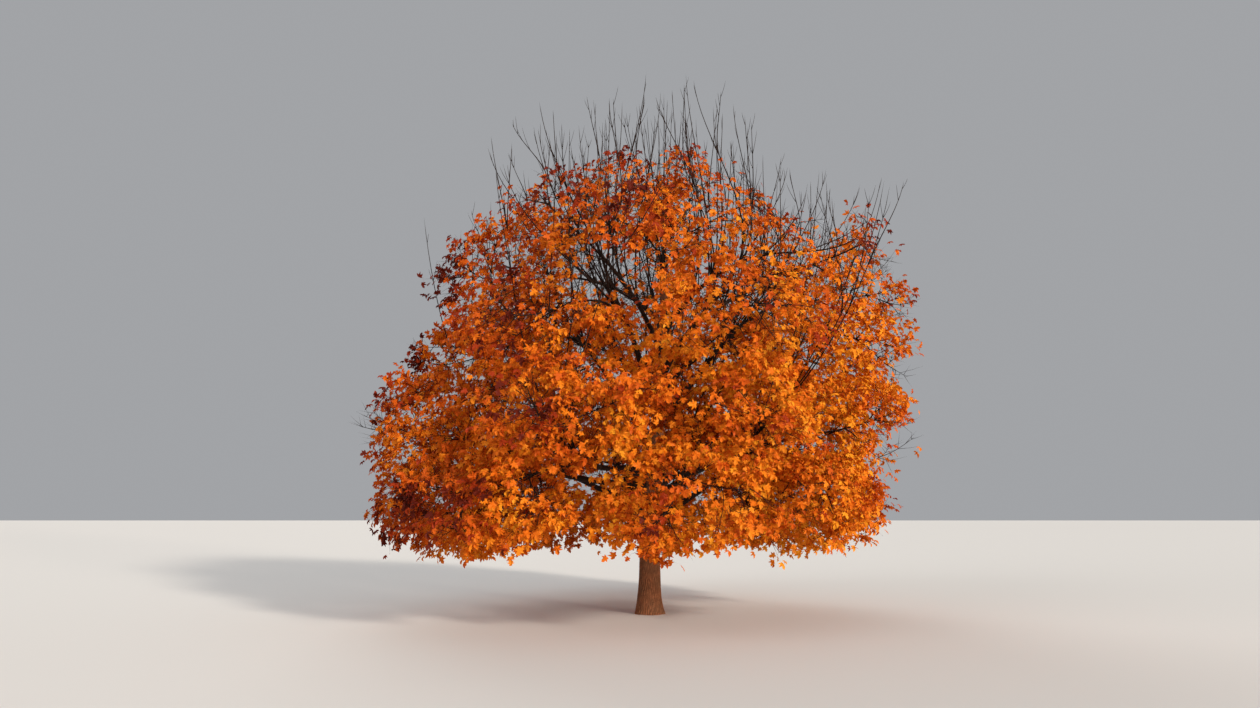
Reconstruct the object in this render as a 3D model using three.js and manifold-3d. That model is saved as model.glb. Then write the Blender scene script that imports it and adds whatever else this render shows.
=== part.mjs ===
// A broad maple that grew in the open, in autumn leaf. One short trunk runs up through the crown.
// Twenty boughs leave it on all sides, and each ends where it enters its foliage.
// Millimetres. +Z is up, and the origin is the middle of the flat cut under the trunk, at ground level.
// +X is the right-hand side of the usual view, and +Y points away from the viewer.
// An azimuth is counted from +X towards +Y.
import * as THREE from "three";
import { mergeVertices } from "three/addons/utils/BufferGeometryUtils.js";
import Module from "manifold-3d";

const wasm = await Module();
wasm.setup();

// Sizes of the trunk
const TRUNK_HEIGHT = 5650;
const TRUNK_FOOT_RADIUS = 186;
const TRUNK_TIP_RADIUS = 48;
const FLARE_RADIUS = 56;
const FLARE_HEIGHT = 190;
const ROOT_RIDGES = 5;
const ROOT_RIDGE_SHARE = 0.2;
const TRUNK_LEAN = new THREE.Vector2(270, -110);
const TRUNK_SWAY = 38;
const TRUNK_SIDES = 12;
const TRUNK_RINGS = 14;
// The rings' heights grow by this power, so that they stand closer together in the flare than higher up.
const TRUNK_RING_POWER = 1.6;
const TRUNK_TIP_LENGTH = 500;

// The crown's outline: how far leaves reach from the trunk at its underside, widest height and shoulder
const SKIRT_HEIGHT = 1200;
const SKIRT_REACH = 4100;
const WIDEST_HEIGHT = 2600;
const WIDEST_REACH = 4500;
const SHOULDER_HEIGHT = 5300;
const SHOULDER_REACH = 4150;
const LEAF_TOP_HEIGHT = 8000;
const FOLIAGE_FLOOR = 900;
// The crown is fuller to the left low down and to the right high up, by these shares of its reach.
// Its shoulder is this much lower towards the viewer.
const LOW_LEFT_SHARE = 0.1;
const HIGH_RIGHT_SHARE = 0.05;
const FRONT_DROP = 260;

// Foliage grows in tiers of count masses at a height, the first of them at an azimuth. half is a mass's half
// size outwards, sideways and upwards. So many twigs leave its stem and bear so many leaves at most, and
// bare wands stand up out of it.
const TIERS = [
  {
    name: "skirt",
    count: 8,
    height: 1780,
    first: 0,
    half: [1250, 1400, 680],
    twigs: 5,
    leaves: 9,
    wands: 0,
  },
  {
    name: "lower",
    count: 8,
    height: 2850,
    first: 22.5,
    half: [1400, 1450, 850],
    twigs: 5,
    leaves: 10,
    wands: 0,
  },
  {
    name: "middle",
    count: 7,
    height: 4050,
    first: 180,
    half: [1400, 1500, 900],
    twigs: 5,
    leaves: 11,
    wands: 0,
  },
  {
    name: "upper",
    count: 7,
    height: 5250,
    first: 205.7,
    half: [1350, 1400, 950],
    twigs: 5,
    leaves: 11,
    wands: 1,
  },
  {
    name: "shoulder",
    count: 5,
    height: 6300,
    first: 20,
    half: [1250, 1400, 900],
    twigs: 5,
    leaves: 12,
    wands: 3,
  },
  {
    name: "top",
    count: 2,
    height: 7050,
    first: 145,
    half: [1150, 1300, 950],
    twigs: 7,
    leaves: 16,
    wands: 4,
  },
];
const WAND_RISE = { upper: 1050, shoulder: 1300, top: 2000 };
const TOP_MASS_OFFSET = 820;
const AZIMUTH_JITTER = 5;
const HEIGHT_JITTER = 110;
const REACH_JITTER = 0.03;
// A point outside a mass's space is drawn in by this share of its way to the middle, at most so many times.
const DRAW_SHARE = 0.1;
const DRAW_TRIES = 12;

// Boughs: the masses that a set carries, the heights where its first and last leave the trunk, the pitch of
// their first stretch there, and their radii at the trunk and at the tip. step is how many places round the
// trunk the next one up is.
const BOUGHS = [
  {
    name: "low",
    carries: ["skirt", "lower"],
    from: 1500,
    to: 2450,
    pitch: [20, -18],
    step: 3,
    radius: [62, 34],
  },
  {
    name: "middle",
    carries: ["middle", "upper"],
    from: 2700,
    to: 3750,
    pitch: [50, 42],
    step: 3,
    radius: [60, 32],
  },
  {
    name: "high",
    carries: ["shoulder"],
    from: 3980,
    to: 4700,
    pitch: [56, 50],
    step: 2,
    radius: [44, 26],
  },
];
const BOUGH_SIDES = 6;
const BOUGH_RINGS = 6;
const BOUGH_TAPER_POWER = 0.8;
// The collar where a bough leaves the trunk: its share of the radius, and how fast it fades along the bough
const COLLAR_SHARE = 0.35;
const COLLAR_LENGTH = 0.09;
// A bough's first and last stretch, its sideways swing and its pull outwards at the tip, by its length
const BOUGH_FIRST_STRETCH = 0.4;
const BOUGH_LAST_STRETCH = 0.28;
const BOUGH_SWING = 0.06;
const BOUGH_OUTWARD_PULL = 0.35;
// How far a bough's tip is from the middle of its foliage, by the foliage's half size outwards. The tip of
// a bough with one mass lies this much below it, by its distance inwards.
const TIP_DISTANCE = 0.98;
const TIP_DROP = 0.7;

// Twigs and leaves
const STEM_RADIUS = [17, 13];
const TOP_STEM_RADIUS = [22, 12];
const TWIG_RADIUS = [13, 9];
const WAND_RADIUS = [12, 5];
const TWIG_SIDES = 3;
const STEM_PARTS = 4;
const TWIG_PARTS = 2;
// A limb whose way up is more than this share of its length counts as upright.
const UPRIGHT_SHARE = 0.8;
// Where a stem ends in its mass, by the half sizes, how steeply it arrives, and its first and last stretch
const STEM_END = { out: 0.74, side: 0.12, rise: 0.15 };
const STEM_RISE = 0.45;
const STEM_FIRST_STRETCH = 0.33;
const STEM_LAST_STRETCH = 0.3;
// How far apart the two stems on a bough's tip stand, by its radius
const FORK_SPREAD = 0.56;
// The part of a branch that twigs leave it from, the step in which places there are tried, and what a way
// along the branch costs beside the same way through the air
const TWIG_STATIONS = { from: 0.2, to: 0.86, step: 0.03 };
const BRANCH_COST = 0.55;
// A twig's first and last stretch by its length, its turn from the branch towards its end, and its rise there
const TWIG_STRETCH = 0.3;
const TWIG_TURN = 0.6;
const TWIG_RISE = 0.35;
// Twigs end on this share of the half sizes, shifted outwards by the second share of that.
const TWIG_SHELL = 0.74;
const TWIG_OUTWARD_SHIFT = 0.15;
// A mass's bare wands spread round its middle by these shares of its half sizes, lean outwards, and are
// shorter than the first by up to the last share.
const WAND_SPREAD = [0.3, 0.6];
const WAND_LEAN = { upper: 0.9, shoulder: 0.25, top: 0.25 };
const WAND_SHORTENING = 0.3;
const LEAF_LENGTH = 820;
const LEAF_WIDTH = 880;
const LEAF_THICKNESS = 16;
const LEAF_CREST = 0.42;
const LEAF_MIDDLE = 0.45;
const LEAF_LENGTH_JITTER = 0.1;
// The way a leaf faces: so much away from the trunk and up, with chance added sideways
const LEAF_FACING = { out: 0.8, up: 0.62, chance: 0.3 };
const LEAF_PAIR_ANGLE = 52;
const LEAF_STATIONS = [0.5, 0.8];
const TIP_LEAF_STATION = 0.9;
const PAIR_SHIFT = 0.02;
const LEAF_TRIES = [
  [0, 1],
  [30, 1],
  [-30, 1],
  [0, 0.8],
  [60, 0.9],
  [-60, 0.9],
  [0, 0.65],
];
const LEAF_ROOM = 430;

// Gaps, and the length under which an edge left by fusing is closed up
const SMALLEST_EDGE = 5;
const CORNER_ROOM = 1e-3;
const SHELL_READINGS = 4;
const JOINT_GAP = 0.3;
const SPACE_MARGIN = 8;
const LIMB_CLEARANCE = 22;

const GOLDEN_ANGLE = Math.PI * (3 - Math.sqrt(5));
const UP = new THREE.Vector3(0, 0, 1);
const degrees = THREE.MathUtils.degToRad;
const { lerp, smoothstep } = THREE.MathUtils;

// A number from 0 to 1 that depends only on its keys, so that every twig has its own chance. The first keys
// name the thing, and the last ones tell its different chances apart.
function chance(...keys) {
  let mixed = 0x2545f491;
  for (const key of keys) {
    mixed = Math.imul(mixed ^ key, 0x9e3779b1) >>> 0;
    mixed = (mixed ^ (mixed >>> 15)) >>> 0;
    mixed = Math.imul(mixed, 0x85ebca6b) >>> 0;
    mixed = (mixed ^ (mixed >>> 13)) >>> 0;
  }
  return mixed / 4294967296;
}

// The same, from -1 to 1.
const sway = (...keys) => 2 * chance(...keys) - 1;

const outwards = (azimuth) => new THREE.Vector3(Math.cos(azimuth), Math.sin(azimuth), 0);
const sideways = (azimuth) => new THREE.Vector3(-Math.sin(azimuth), Math.cos(azimuth), 0);
const along = (start, direction, distance) => start.clone().addScaledVector(direction, distance);

// A solid from a list of points and a list of triangles, each of three places in the first list.
function solidFrom(points, triangles) {
  return new wasm.Manifold(
    new wasm.Mesh({
      numProp: 3,
      vertProperties: new Float32Array(points.flatMap((point) => point.toArray())),
      triVerts: new Uint32Array(triangles.flat()),
    }),
  );
}

function geometryFrom(solid) {
  const { vertProperties, triVerts } = solid.getMesh();
  const geometry = new THREE.BufferGeometry();
  geometry.setAttribute("position", new THREE.BufferAttribute(vertProperties, 3));
  geometry.setIndex(new THREE.BufferAttribute(triVerts, 1));
  return geometry;
}

// The largest closed shell of a solid, once corners closer together than a mesh can tell are joined.
// So what fusing sealed in is filled, and a loose scrap is dropped. A solid that hangs together by one
// corner only parts there when it is read again, so it is read several times.
function largestShell(solid) {
  let largest = solid;
  for (let reading = 0; reading < SHELL_READINGS; reading++) {
    const joined = mergeVertices(geometryFrom(largest).toNonIndexed(), CORNER_ROOM);
    const mesh = new wasm.Mesh({
      numProp: 3,
      vertProperties: joined.attributes.position.array,
      triVerts: new Uint32Array(joined.index.array),
    });
    const shells = new wasm.Manifold(mesh).decompose();
    largest = shells.sort((a, b) => b.volume() - a.volume())[0];
  }
  return largest;
}

// A curve made of straight parts between points of another, so that leaves can sit on a twig's own middle
// line.
class BentCurve extends THREE.Curve {
  constructor(curve, parts) {
    super();
    this.knots = curve.getPoints(parts);
  }
  getPoint(share) {
    const place = share * (this.knots.length - 1);
    const part = Math.min(Math.floor(place), this.knots.length - 2);
    return this.knots[part].clone().lerp(this.knots[part + 1], place - part);
  }
}

// A tapering limb: rings of corners along a curve, each ring square to it. across is a direction that the
// curve never runs along. A given facing keeps every ring square to that instead, and a given foot only the
// first. A pointed limb ends in one corner.
function limbSolid(curve, radiusAt, { sides, rings, across, facing, foot, pointed }) {
  const points = [];
  const triangles = [];
  const lastRing = pointed ? rings - 1 : rings;
  for (let ring = 0; ring <= lastRing; ring++) {
    const share = ring / rings;
    const tangent = facing ?? (foot && ring === 0 ? foot : curve.getTangent(share));
    const first = across.clone().projectOnPlane(tangent).normalize();
    const second = tangent.clone().cross(first);
    for (let side = 0; side < sides; side++) {
      const angle = (2 * Math.PI * side) / sides;
      const radius = radiusAt(share, angle);
      const corner = along(curve.getPoint(share), first, radius * Math.cos(angle));
      points.push(corner.addScaledVector(second, radius * Math.sin(angle)));
      const here = ring * sides + side;
      const next = ring * sides + ((side + 1) % sides);
      if (ring < lastRing) triangles.push([here, next, next + sides], [here, next + sides, here + sides]);
      else if (pointed) triangles.push([here, next, (rings - 1) * sides + sides]);
    }
  }
  for (let side = 1; side < sides - 1; side++) {
    const end = lastRing * sides;
    triangles.push([0, side + 1, side]);
    if (!pointed) triangles.push([end, end + side, end + side + 1]);
  }
  if (pointed) points.push(curve.getPoint(1));
  return solidFrom(points, triangles);
}

// Trunk
const trunkCentre = (height) => {
  const share = height / TRUNK_HEIGHT;
  const bend = TRUNK_SWAY * Math.sin(2 * Math.PI * share);
  return new THREE.Vector3(TRUNK_LEAN.x * share - bend, TRUNK_LEAN.y * share + bend, height);
};

function trunkRadius(height, angle) {
  const taper = lerp(TRUNK_FOOT_RADIUS, TRUNK_TIP_RADIUS, height / TRUNK_HEIGHT);
  const flare = Math.exp(-height / FLARE_HEIGHT);
  const ridge = 1 + ROOT_RIDGE_SHARE * Math.cos(ROOT_RIDGES * angle);
  return taper + FLARE_RADIUS * flare * ridge;
}

class TrunkCurve extends THREE.Curve {
  static height(share) {
    return TRUNK_HEIGHT * share ** TRUNK_RING_POWER;
  }
  getPoint(share) {
    return trunkCentre(TrunkCurve.height(share));
  }
}

function trunkSolid(extra = 0) {
  const radiusAt = (share, angle) => trunkRadius(TrunkCurve.height(share), angle) + extra;
  const across = new THREE.Vector3(1, 0, 0);
  const shape = { sides: TRUNK_SIDES, rings: TRUNK_RINGS, across, facing: UP };
  return limbSolid(new TrunkCurve(), radiusAt, shape);
}

// Crown
function crownReach(height, azimuth) {
  let reach;
  if (height < WIDEST_HEIGHT) {
    reach = lerp(SKIRT_REACH, WIDEST_REACH, smoothstep(height, SKIRT_HEIGHT, WIDEST_HEIGHT));
  } else if (height < SHOULDER_HEIGHT) {
    reach = lerp(WIDEST_REACH, SHOULDER_REACH, smoothstep(height, WIDEST_HEIGHT, SHOULDER_HEIGHT));
  } else {
    const rise = (height - SHOULDER_HEIGHT) / (LEAF_TOP_HEIGHT - SHOULDER_HEIGHT);
    reach = SHOULDER_REACH * Math.sqrt(Math.max(0, 1 - rise * rise));
  }
  const right = lerp(-LOW_LEFT_SHARE, HIGH_RIGHT_SHARE, smoothstep(height, WIDEST_HEIGHT, SHOULDER_HEIGHT));
  return reach * (1 + right * Math.cos(azimuth));
}

// One mass of foliage: its place, its half sizes, and the seed of its twigs.
function massAt(tier, tierIndex, place) {
  const seed = 100 * (tierIndex + 1) + place;
  const azimuth = degrees(tier.first + (360 * place) / tier.count + AZIMUTH_JITTER * sway(seed, 1));
  const drop = tier.height > SHOULDER_HEIGHT ? FRONT_DROP * Math.max(0, -Math.sin(azimuth)) : 0;
  const height = tier.height - drop + HEIGHT_JITTER * sway(seed, 2);
  const middle = trunkCentre(Math.min(height, TRUNK_HEIGHT)).setZ(height);
  const reach = crownReach(height, azimuth) * (1 + REACH_JITTER * sway(seed, 3));
  const distance = tier.name === "top" ? TOP_MASS_OFFSET : reach - tier.half[0];
  return {
    name: `${tier.name}_foliage_${place + 1}`,
    tier,
    seed,
    azimuth,
    centre: along(middle, outwards(azimuth), distance),
    half: tier.half,
  };
}

const masses = TIERS.flatMap((tier, tierIndex) =>
  Array.from({ length: tier.count }, (_, place) => massAt(tier, tierIndex, place)),
);
const massesOf = (tierName) => masses.filter((mass) => mass.tier.name === tierName);

// A mass's space ends halfway to each other mass.
function isInSpace(point, mass, margin = SPACE_MARGIN) {
  return masses.every((other) => {
    if (other === mass) return true;
    const towards = other.centre.clone().sub(mass.centre);
    const half = towards.length() / 2;
    return point.clone().sub(mass.centre).dot(towards.normalize()) < half - margin;
  });
}

// A point of a mass, from its shares of the half sizes outwards, sideways and upwards.
function pointIn(mass, out, side, rise) {
  return mass.centre
    .clone()
    .addScaledVector(outwards(mass.azimuth), out * mass.half[0])
    .addScaledVector(sideways(mass.azimuth), side * mass.half[1])
    .addScaledVector(UP, rise * mass.half[2]);
}

// A point that lies outside the mass's space is drawn in towards its middle.
function drawnIn(point, mass) {
  const drawn = point.clone();
  for (let i = 0; i < DRAW_TRIES && !isInSpace(drawn, mass); i++) drawn.lerp(mass.centre, DRAW_SHARE);
  return drawn;
}

// Boughs. A bough's tip lies on the plane that parts its two masses, on their inner side.
function forkPoint(carried) {
  const middle = carried[0].centre.clone();
  if (carried.length === 2) middle.lerp(carried[1].centre, 0.5);
  const azimuth = Math.atan2(middle.y, middle.x);
  const inwards = outwards(azimuth).negate();
  if (carried.length === 1) inwards.addScaledVector(UP, -TIP_DROP);
  else inwards.projectOnPlane(carried[1].centre.clone().sub(carried[0].centre).normalize());
  return along(middle, inwards.normalize(), TIP_DISTANCE * carried[0].half[0]);
}

function boughAt(set, place) {
  const lists = set.carries.map(massesOf);
  const count = lists[0].length;
  const carried = lists.map((list) => list[place]);
  const order = (place * set.step) % count;
  const share = order / (count - 1);
  const start = trunkCentre(lerp(set.from, set.to, share));
  const tip = forkPoint(carried);
  const run = start.distanceTo(tip);
  const flat = tip.clone().sub(start).setZ(0).normalize();
  const pitch = degrees(lerp(set.pitch[0], set.pitch[1], share));
  const leaving = flat.clone().multiplyScalar(Math.cos(pitch)).addScaledVector(UP, Math.sin(pitch));
  const firstBend = along(start, leaving, BOUGH_FIRST_STRETCH * run);
  const arriving = tip.clone().sub(firstBend).normalize();
  arriving.addScaledVector(flat, BOUGH_OUTWARD_PULL).normalize();
  const swing = flat.clone().cross(UP).multiplyScalar(BOUGH_SWING * run * sway(place, order, 7));
  const lastBend = along(tip, arriving, -BOUGH_LAST_STRETCH * run).sub(swing);
  return {
    name: `${set.name}_bough_${place + 1}`,
    curve: new THREE.CubicBezierCurve3(start, firstBend.add(swing), lastBend, tip),
    across: flat.clone().cross(UP),
    radius: set.radius,
    carried,
  };
}

const boughs = BOUGHS.flatMap((set) =>
  massesOf(set.carries[0]).map((_, place) => boughAt(set, place)),
);

// A bough swells into a collar where it leaves the trunk.
function boughSolid(bough, extra = 0) {
  const [thick, thin] = bough.radius;
  const collar = (share) => COLLAR_SHARE * thick * Math.exp(-share / COLLAR_LENGTH);
  const radiusAt = (share) => lerp(thick, thin, share ** BOUGH_TAPER_POWER) + collar(share) + extra;
  return limbSolid(bough.curve, radiusAt, { sides: BOUGH_SIDES, rings: BOUGH_RINGS, across: bough.across });
}

// Twigs of a mass. The stems that share a tip stand side by side on its flat end, one gap clear of it.
const trunkTip = {
  curve: new THREE.LineCurve3(trunkCentre(TRUNK_HEIGHT - TRUNK_TIP_LENGTH), trunkCentre(TRUNK_HEIGHT)),
  radius: [TRUNK_FOOT_RADIUS, TRUNK_TIP_RADIUS],
  facing: UP,
  carried: massesOf("top"),
};

function stemOf(mass, carrier) {
  const [first, second] = carrier.carried;
  const facing = carrier.facing ?? carrier.curve.getTangent(1);
  const start = along(carrier.curve.getPoint(1), facing, JOINT_GAP);
  if (second) {
    const apart = second.centre.clone().sub(first.centre).projectOnPlane(facing).normalize();
    const sign = mass === first ? -1 : 1;
    start.addScaledVector(apart, sign * FORK_SPREAD * carrier.radius[1]);
  }
  const side = STEM_END.side * sway(mass.seed, 11);
  const end = drawnIn(pointIn(mass, STEM_END.out, side, STEM_END.rise), mass);
  const run = start.distanceTo(end);
  const arriving = outwards(mass.azimuth).addScaledVector(UP, STEM_RISE).normalize();
  const curve = new THREE.CubicBezierCurve3(
    start,
    along(start, facing, STEM_FIRST_STRETCH * run),
    along(end, arriving, -STEM_LAST_STRETCH * run),
    end,
  );
  const radius = carrier === trunkTip ? TOP_STEM_RADIUS : STEM_RADIUS;
  return { curve: new BentCurve(curve, STEM_PARTS), radius, parts: STEM_PARTS, foot: facing };
}

// A twig leaves the branch where the way along the branch and then straight to the twig's end costs least.
function twigTo(target, branch, radius) {
  let best = { cost: Infinity };
  const length = branch.getLength();
  for (let share = TWIG_STATIONS.from; share <= TWIG_STATIONS.to; share += TWIG_STATIONS.step) {
    const from = branch.getPoint(share);
    const cost = from.distanceTo(target) + BRANCH_COST * share * length;
    if (cost < best.cost) best = { cost, share, from };
  }
  const run = best.from.distanceTo(target);
  const leaving = branch.getTangent(best.share);
  const straight = target.clone().sub(best.from).normalize();
  const rising = straight.clone().addScaledVector(UP, TWIG_RISE).normalize();
  const curve = new THREE.CubicBezierCurve3(
    best.from,
    along(best.from, leaving.lerp(straight, TWIG_TURN).normalize(), TWIG_STRETCH * run),
    along(target, rising, -TWIG_STRETCH * run),
    target,
  );
  return { curve: new BentCurve(curve, TWIG_PARTS), radius, parts: TWIG_PARTS };
}

// Ends of the leafy twigs, spread evenly over the mass.
function twigEnds(mass) {
  const count = mass.tier.twigs;
  return Array.from({ length: count }, (_, i) => {
    const rise = 1 - (2 * (i + 0.5)) / count;
    const turn = i * GOLDEN_ANGLE + 2 * Math.PI * chance(mass.seed, 21);
    const level = Math.sqrt(1 - rise * rise);
    const out = level * Math.cos(turn) + TWIG_OUTWARD_SHIFT;
    const side = level * Math.sin(turn);
    return drawnIn(pointIn(mass, TWIG_SHELL * out, TWIG_SHELL * side, TWIG_SHELL * rise), mass);
  });
}

// Ends of the bare wands, which stand in a ring above the mass, WAND_RISE over its middle, and lean outwards.
function wandEnds(mass) {
  const count = mass.tier.wands;
  return Array.from({ length: count }, (_, i) => {
    const turn = i * GOLDEN_ANGLE + 2 * Math.PI * chance(mass.seed, 31);
    const spread = count > 1 ? lerp(...WAND_SPREAD, i / count) : 0;
    const lean = WAND_LEAN[mass.tier.name];
    const end = pointIn(mass, spread * Math.cos(turn) + lean, spread * Math.sin(turn), 0);
    const shortening = i > 0 ? WAND_SHORTENING * chance(mass.seed, 32, i) : 0;
    end.z += WAND_RISE[mass.tier.name] * (1 - shortening);
    return drawnIn(end, mass);
  });
}

function twigSolid({ curve, radius, parts, foot }, extra = 0) {
  const radiusAt = (share) => lerp(radius[0], radius[1], share) + extra;
  const chord = curve.getPoint(1).sub(curve.getPoint(0)).normalize();
  const across = Math.abs(chord.z) < UPRIGHT_SHARE ? UP : new THREE.Vector3(1, 0, 0);
  return limbSolid(curve, radiusAt, { sides: TWIG_SIDES, rings: parts, across, foot, pointed: true });
}

// The outline of a three-lobed leaf, as shares of its width and its length from the root to the tip.
const LEAF_OUTLINE = [
  [0, 0],
  [0.5, 0.38],
  [0.27, 0.62],
  [0, 1],
  [-0.27, 0.62],
  [-0.5, 0.38],
];

// The triangles of its flat underside, by places in the outline.
const LEAF_UNDERSIDE = [
  [0, 5, 1],
  [1, 5, 2],
  [2, 5, 4],
  [2, 4, 3],
];

// One leaf, which stands for a spray of leaves: flat underneath, with its outline's sides rising to one
// corner.
function leafAt(root, pointing, facing, length) {
  const width = pointing.clone().cross(facing).multiplyScalar((LEAF_WIDTH * length) / LEAF_LENGTH);
  const points = LEAF_OUTLINE.map(([side, share]) =>
    along(root, pointing, share * length).addScaledVector(width, side),
  );
  const last = points.length;
  points.push(along(root, pointing, LEAF_CREST * length).addScaledVector(facing, LEAF_THICKNESS));
  const upperSide = LEAF_OUTLINE.map((_, i) => [i, (i + 1) % last, last]);
  return { points, solid: solidFrom(points, [...LEAF_UNDERSIDE, ...upperSide]) };
}

// Leaves in opposite pairs along the twigs and one near each tip. A leaf that finds no room is tried
// again, turned or smaller, and then left out.
function leavesOn(twigs, twigSolids, mass, obstacles) {
  const middles = [];
  const leaves = [];
  const findsRoom = ({ points, solid }, middle, own) => {
    if (middles.some((place) => place.distanceTo(middle) < LEAF_ROOM)) return false;
    if (!points.every((point) => point.z > FOLIAGE_FLOOR && isInSpace(point, mass))) return false;
    const isFree = (other) => solid.intersect(other).isEmpty();
    return [...obstacles, ...leaves, ...twigSolids.filter((_, i) => i !== own)].every(isFree);
  };
  const growLeaf = (own, station, side, key) => {
    if (leaves.length >= mass.tier.leaves) return;
    const { curve } = twigs[own];
    const root = curve.getPoint(station);
    const facing = root.clone().sub(trunkCentre(Math.min(root.z, TRUNK_HEIGHT))).setZ(0).normalize();
    facing.multiplyScalar(LEAF_FACING.out).addScaledVector(UP, LEAF_FACING.up);
    const askew = new THREE.Vector3(sway(mass.seed, key, 1), sway(mass.seed, key, 2), 0);
    facing.addScaledVector(askew, LEAF_FACING.chance).normalize();
    const forwards = curve.getTangent(station).projectOnPlane(facing).normalize();
    for (const [turn, size] of LEAF_TRIES) {
      const angle = degrees(side * LEAF_PAIR_ANGLE + turn);
      const pointing = forwards.clone().applyAxisAngle(facing, angle);
      const length = size * LEAF_LENGTH * (1 + LEAF_LENGTH_JITTER * sway(mass.seed, key, 4));
      const middle = along(root, pointing, length * LEAF_MIDDLE);
      const leaf = leafAt(root, pointing, facing, length);
      if (!findsRoom(leaf, middle, own)) continue;
      middles.push(middle);
      leaves.push(leaf.solid);
      return;
    }
  };
  twigs.forEach((_, i) => growLeaf(i, TIP_LEAF_STATION, 0, 100 * i + 41));
  LEAF_STATIONS.toReversed().forEach((station, row) => {
    twigs.forEach((_, i) => {
      growLeaf(i, station - PAIR_SHIFT, 1, 100 * i + 10 * row + 42);
      growLeaf(i, station + PAIR_SHIFT, -1, 100 * i + 10 * row + 43);
    });
  });
  return leaves;
}

// All of a mass in one piece. obstacles are the limbs and the other masses' stems, with room round them.
function massSolid(mass, stem, obstacles) {
  const isClear = (twig) =>
    twig.curve.knots.every((knot) => isInSpace(knot, mass, SPACE_MARGIN + twig.radius[0])) &&
    obstacles.every((obstacle) => twigSolid(twig).intersect(obstacle).isEmpty());
  const twigs = twigEnds(mass).map((end) => twigTo(end, stem.curve, TWIG_RADIUS)).filter(isClear);
  const wands = wandEnds(mass).map((end) => twigTo(end, stem.curve, WAND_RADIUS)).filter(isClear);
  const solids = [stem, ...twigs, ...wands].map((twig) => twigSolid(twig));
  const leaves = leavesOn([stem, ...twigs], solids, mass, obstacles);
  return largestShell(wasm.Manifold.union([...solids, ...leaves]).simplify(SMALLEST_EDGE));
}

// The bark, and the colours of the leaves from the underside of the crown to its top
const TRUNK_BARK = { color: 0x7a4a33, roughness: 0.92 };
const BOUGH_BARK = { color: 0x3b2a24, roughness: 0.9 };
const LEAF_ROUGHNESS = 0.6;
const LEAF_COLOURS = {
  skirt: 0xf5871f,
  lower: 0xe8691a,
  middle: 0xe8691a,
  upper: 0xcb4f1c,
  shoulder: 0xcb4f1c,
  top: 0xcb4f1c,
};

// The tree
const tree = new THREE.Group();
function addNode(name, solid, look) {
  const material = new THREE.MeshStandardMaterial({ ...look, metalness: 0 });
  const mesh = new THREE.Mesh(geometryFrom(solid), material);
  mesh.name = name;
  tree.add(mesh);
}

addNode("trunk", trunkSolid(), TRUNK_BARK);
const trunkRoom = trunkSolid(JOINT_GAP);
for (const bough of boughs) {
  addNode(bough.name, largestShell(boughSolid(bough).subtract(trunkRoom)), BOUGH_BARK);
}

const limbs = wasm.Manifold.union([
  trunkSolid(LIMB_CLEARANCE),
  ...boughs.map((bough) => boughSolid(bough, LIMB_CLEARANCE)),
]);
const stems = [...boughs, trunkTip].flatMap((carrier) =>
  carrier.carried.map((mass) => ({ mass, stem: stemOf(mass, carrier) })),
);
for (const { mass, stem } of stems) {
  const others = stems.filter((other) => other.mass !== mass);
  const obstacles = [limbs, ...others.map((other) => twigSolid(other.stem, LIMB_CLEARANCE))];
  const look = { color: LEAF_COLOURS[mass.tier.name], roughness: LEAF_ROUGHNESS };
  addNode(mass.name, massSolid(mass, stem, obstacles), look);
}

export default tree;
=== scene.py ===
# %% [markdown]
# # A broad maple in autumn leaf
#
# The real thing is one maple that grew in the open: a short trunk, twenty boughs, and a round crown of
# orange leaves. It has begun to thin at the top, where bare twigs stand against the sky. A plain frame of
# it exists already, with its trunk, its boughs and 37 masses of large simple leaves.
#
# The frame could be dressed with pictures of leaves on cards, or with particles. Cards look flat from the
# side, and particles are lost when the model leaves Blender. So here every twig and leaf is a real mesh,
# worked out with numpy. All sizes are metres. +Z is up, +X is the right-hand side of the usual view, and
# +Y points away from the viewer.

import bpy
import numpy as np
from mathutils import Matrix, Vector


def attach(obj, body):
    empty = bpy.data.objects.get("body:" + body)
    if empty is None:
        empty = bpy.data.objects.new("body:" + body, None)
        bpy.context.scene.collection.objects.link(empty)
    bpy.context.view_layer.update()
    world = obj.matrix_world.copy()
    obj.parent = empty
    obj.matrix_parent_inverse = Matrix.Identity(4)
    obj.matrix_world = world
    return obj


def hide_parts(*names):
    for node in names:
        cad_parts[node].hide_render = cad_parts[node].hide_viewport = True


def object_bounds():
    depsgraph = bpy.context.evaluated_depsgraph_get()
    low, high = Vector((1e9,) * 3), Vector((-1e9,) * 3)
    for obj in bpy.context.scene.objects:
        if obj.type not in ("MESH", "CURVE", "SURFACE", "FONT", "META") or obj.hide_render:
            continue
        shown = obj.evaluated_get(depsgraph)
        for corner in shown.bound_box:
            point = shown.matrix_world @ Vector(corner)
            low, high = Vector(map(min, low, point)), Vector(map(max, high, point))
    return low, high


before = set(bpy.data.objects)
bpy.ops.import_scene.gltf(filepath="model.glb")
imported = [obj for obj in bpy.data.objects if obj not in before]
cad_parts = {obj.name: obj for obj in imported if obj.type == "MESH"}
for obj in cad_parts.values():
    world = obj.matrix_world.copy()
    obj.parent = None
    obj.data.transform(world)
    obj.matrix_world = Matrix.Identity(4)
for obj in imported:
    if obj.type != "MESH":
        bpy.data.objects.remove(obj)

frame_low, frame_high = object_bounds()
print("the frame has", len(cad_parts), "nodes and reaches from", frame_low, "to", frame_high)

# %% [markdown]
# ## Chance and direction
#
# No two twigs are alike, yet the tree has to come out the same on every run. A generator of random numbers
# would do, but one twig more would then change all that follow it. So each twig asks for its chance by its
# own numbers, and the same numbers always give the same answer, as they did when the frame was made.

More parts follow.
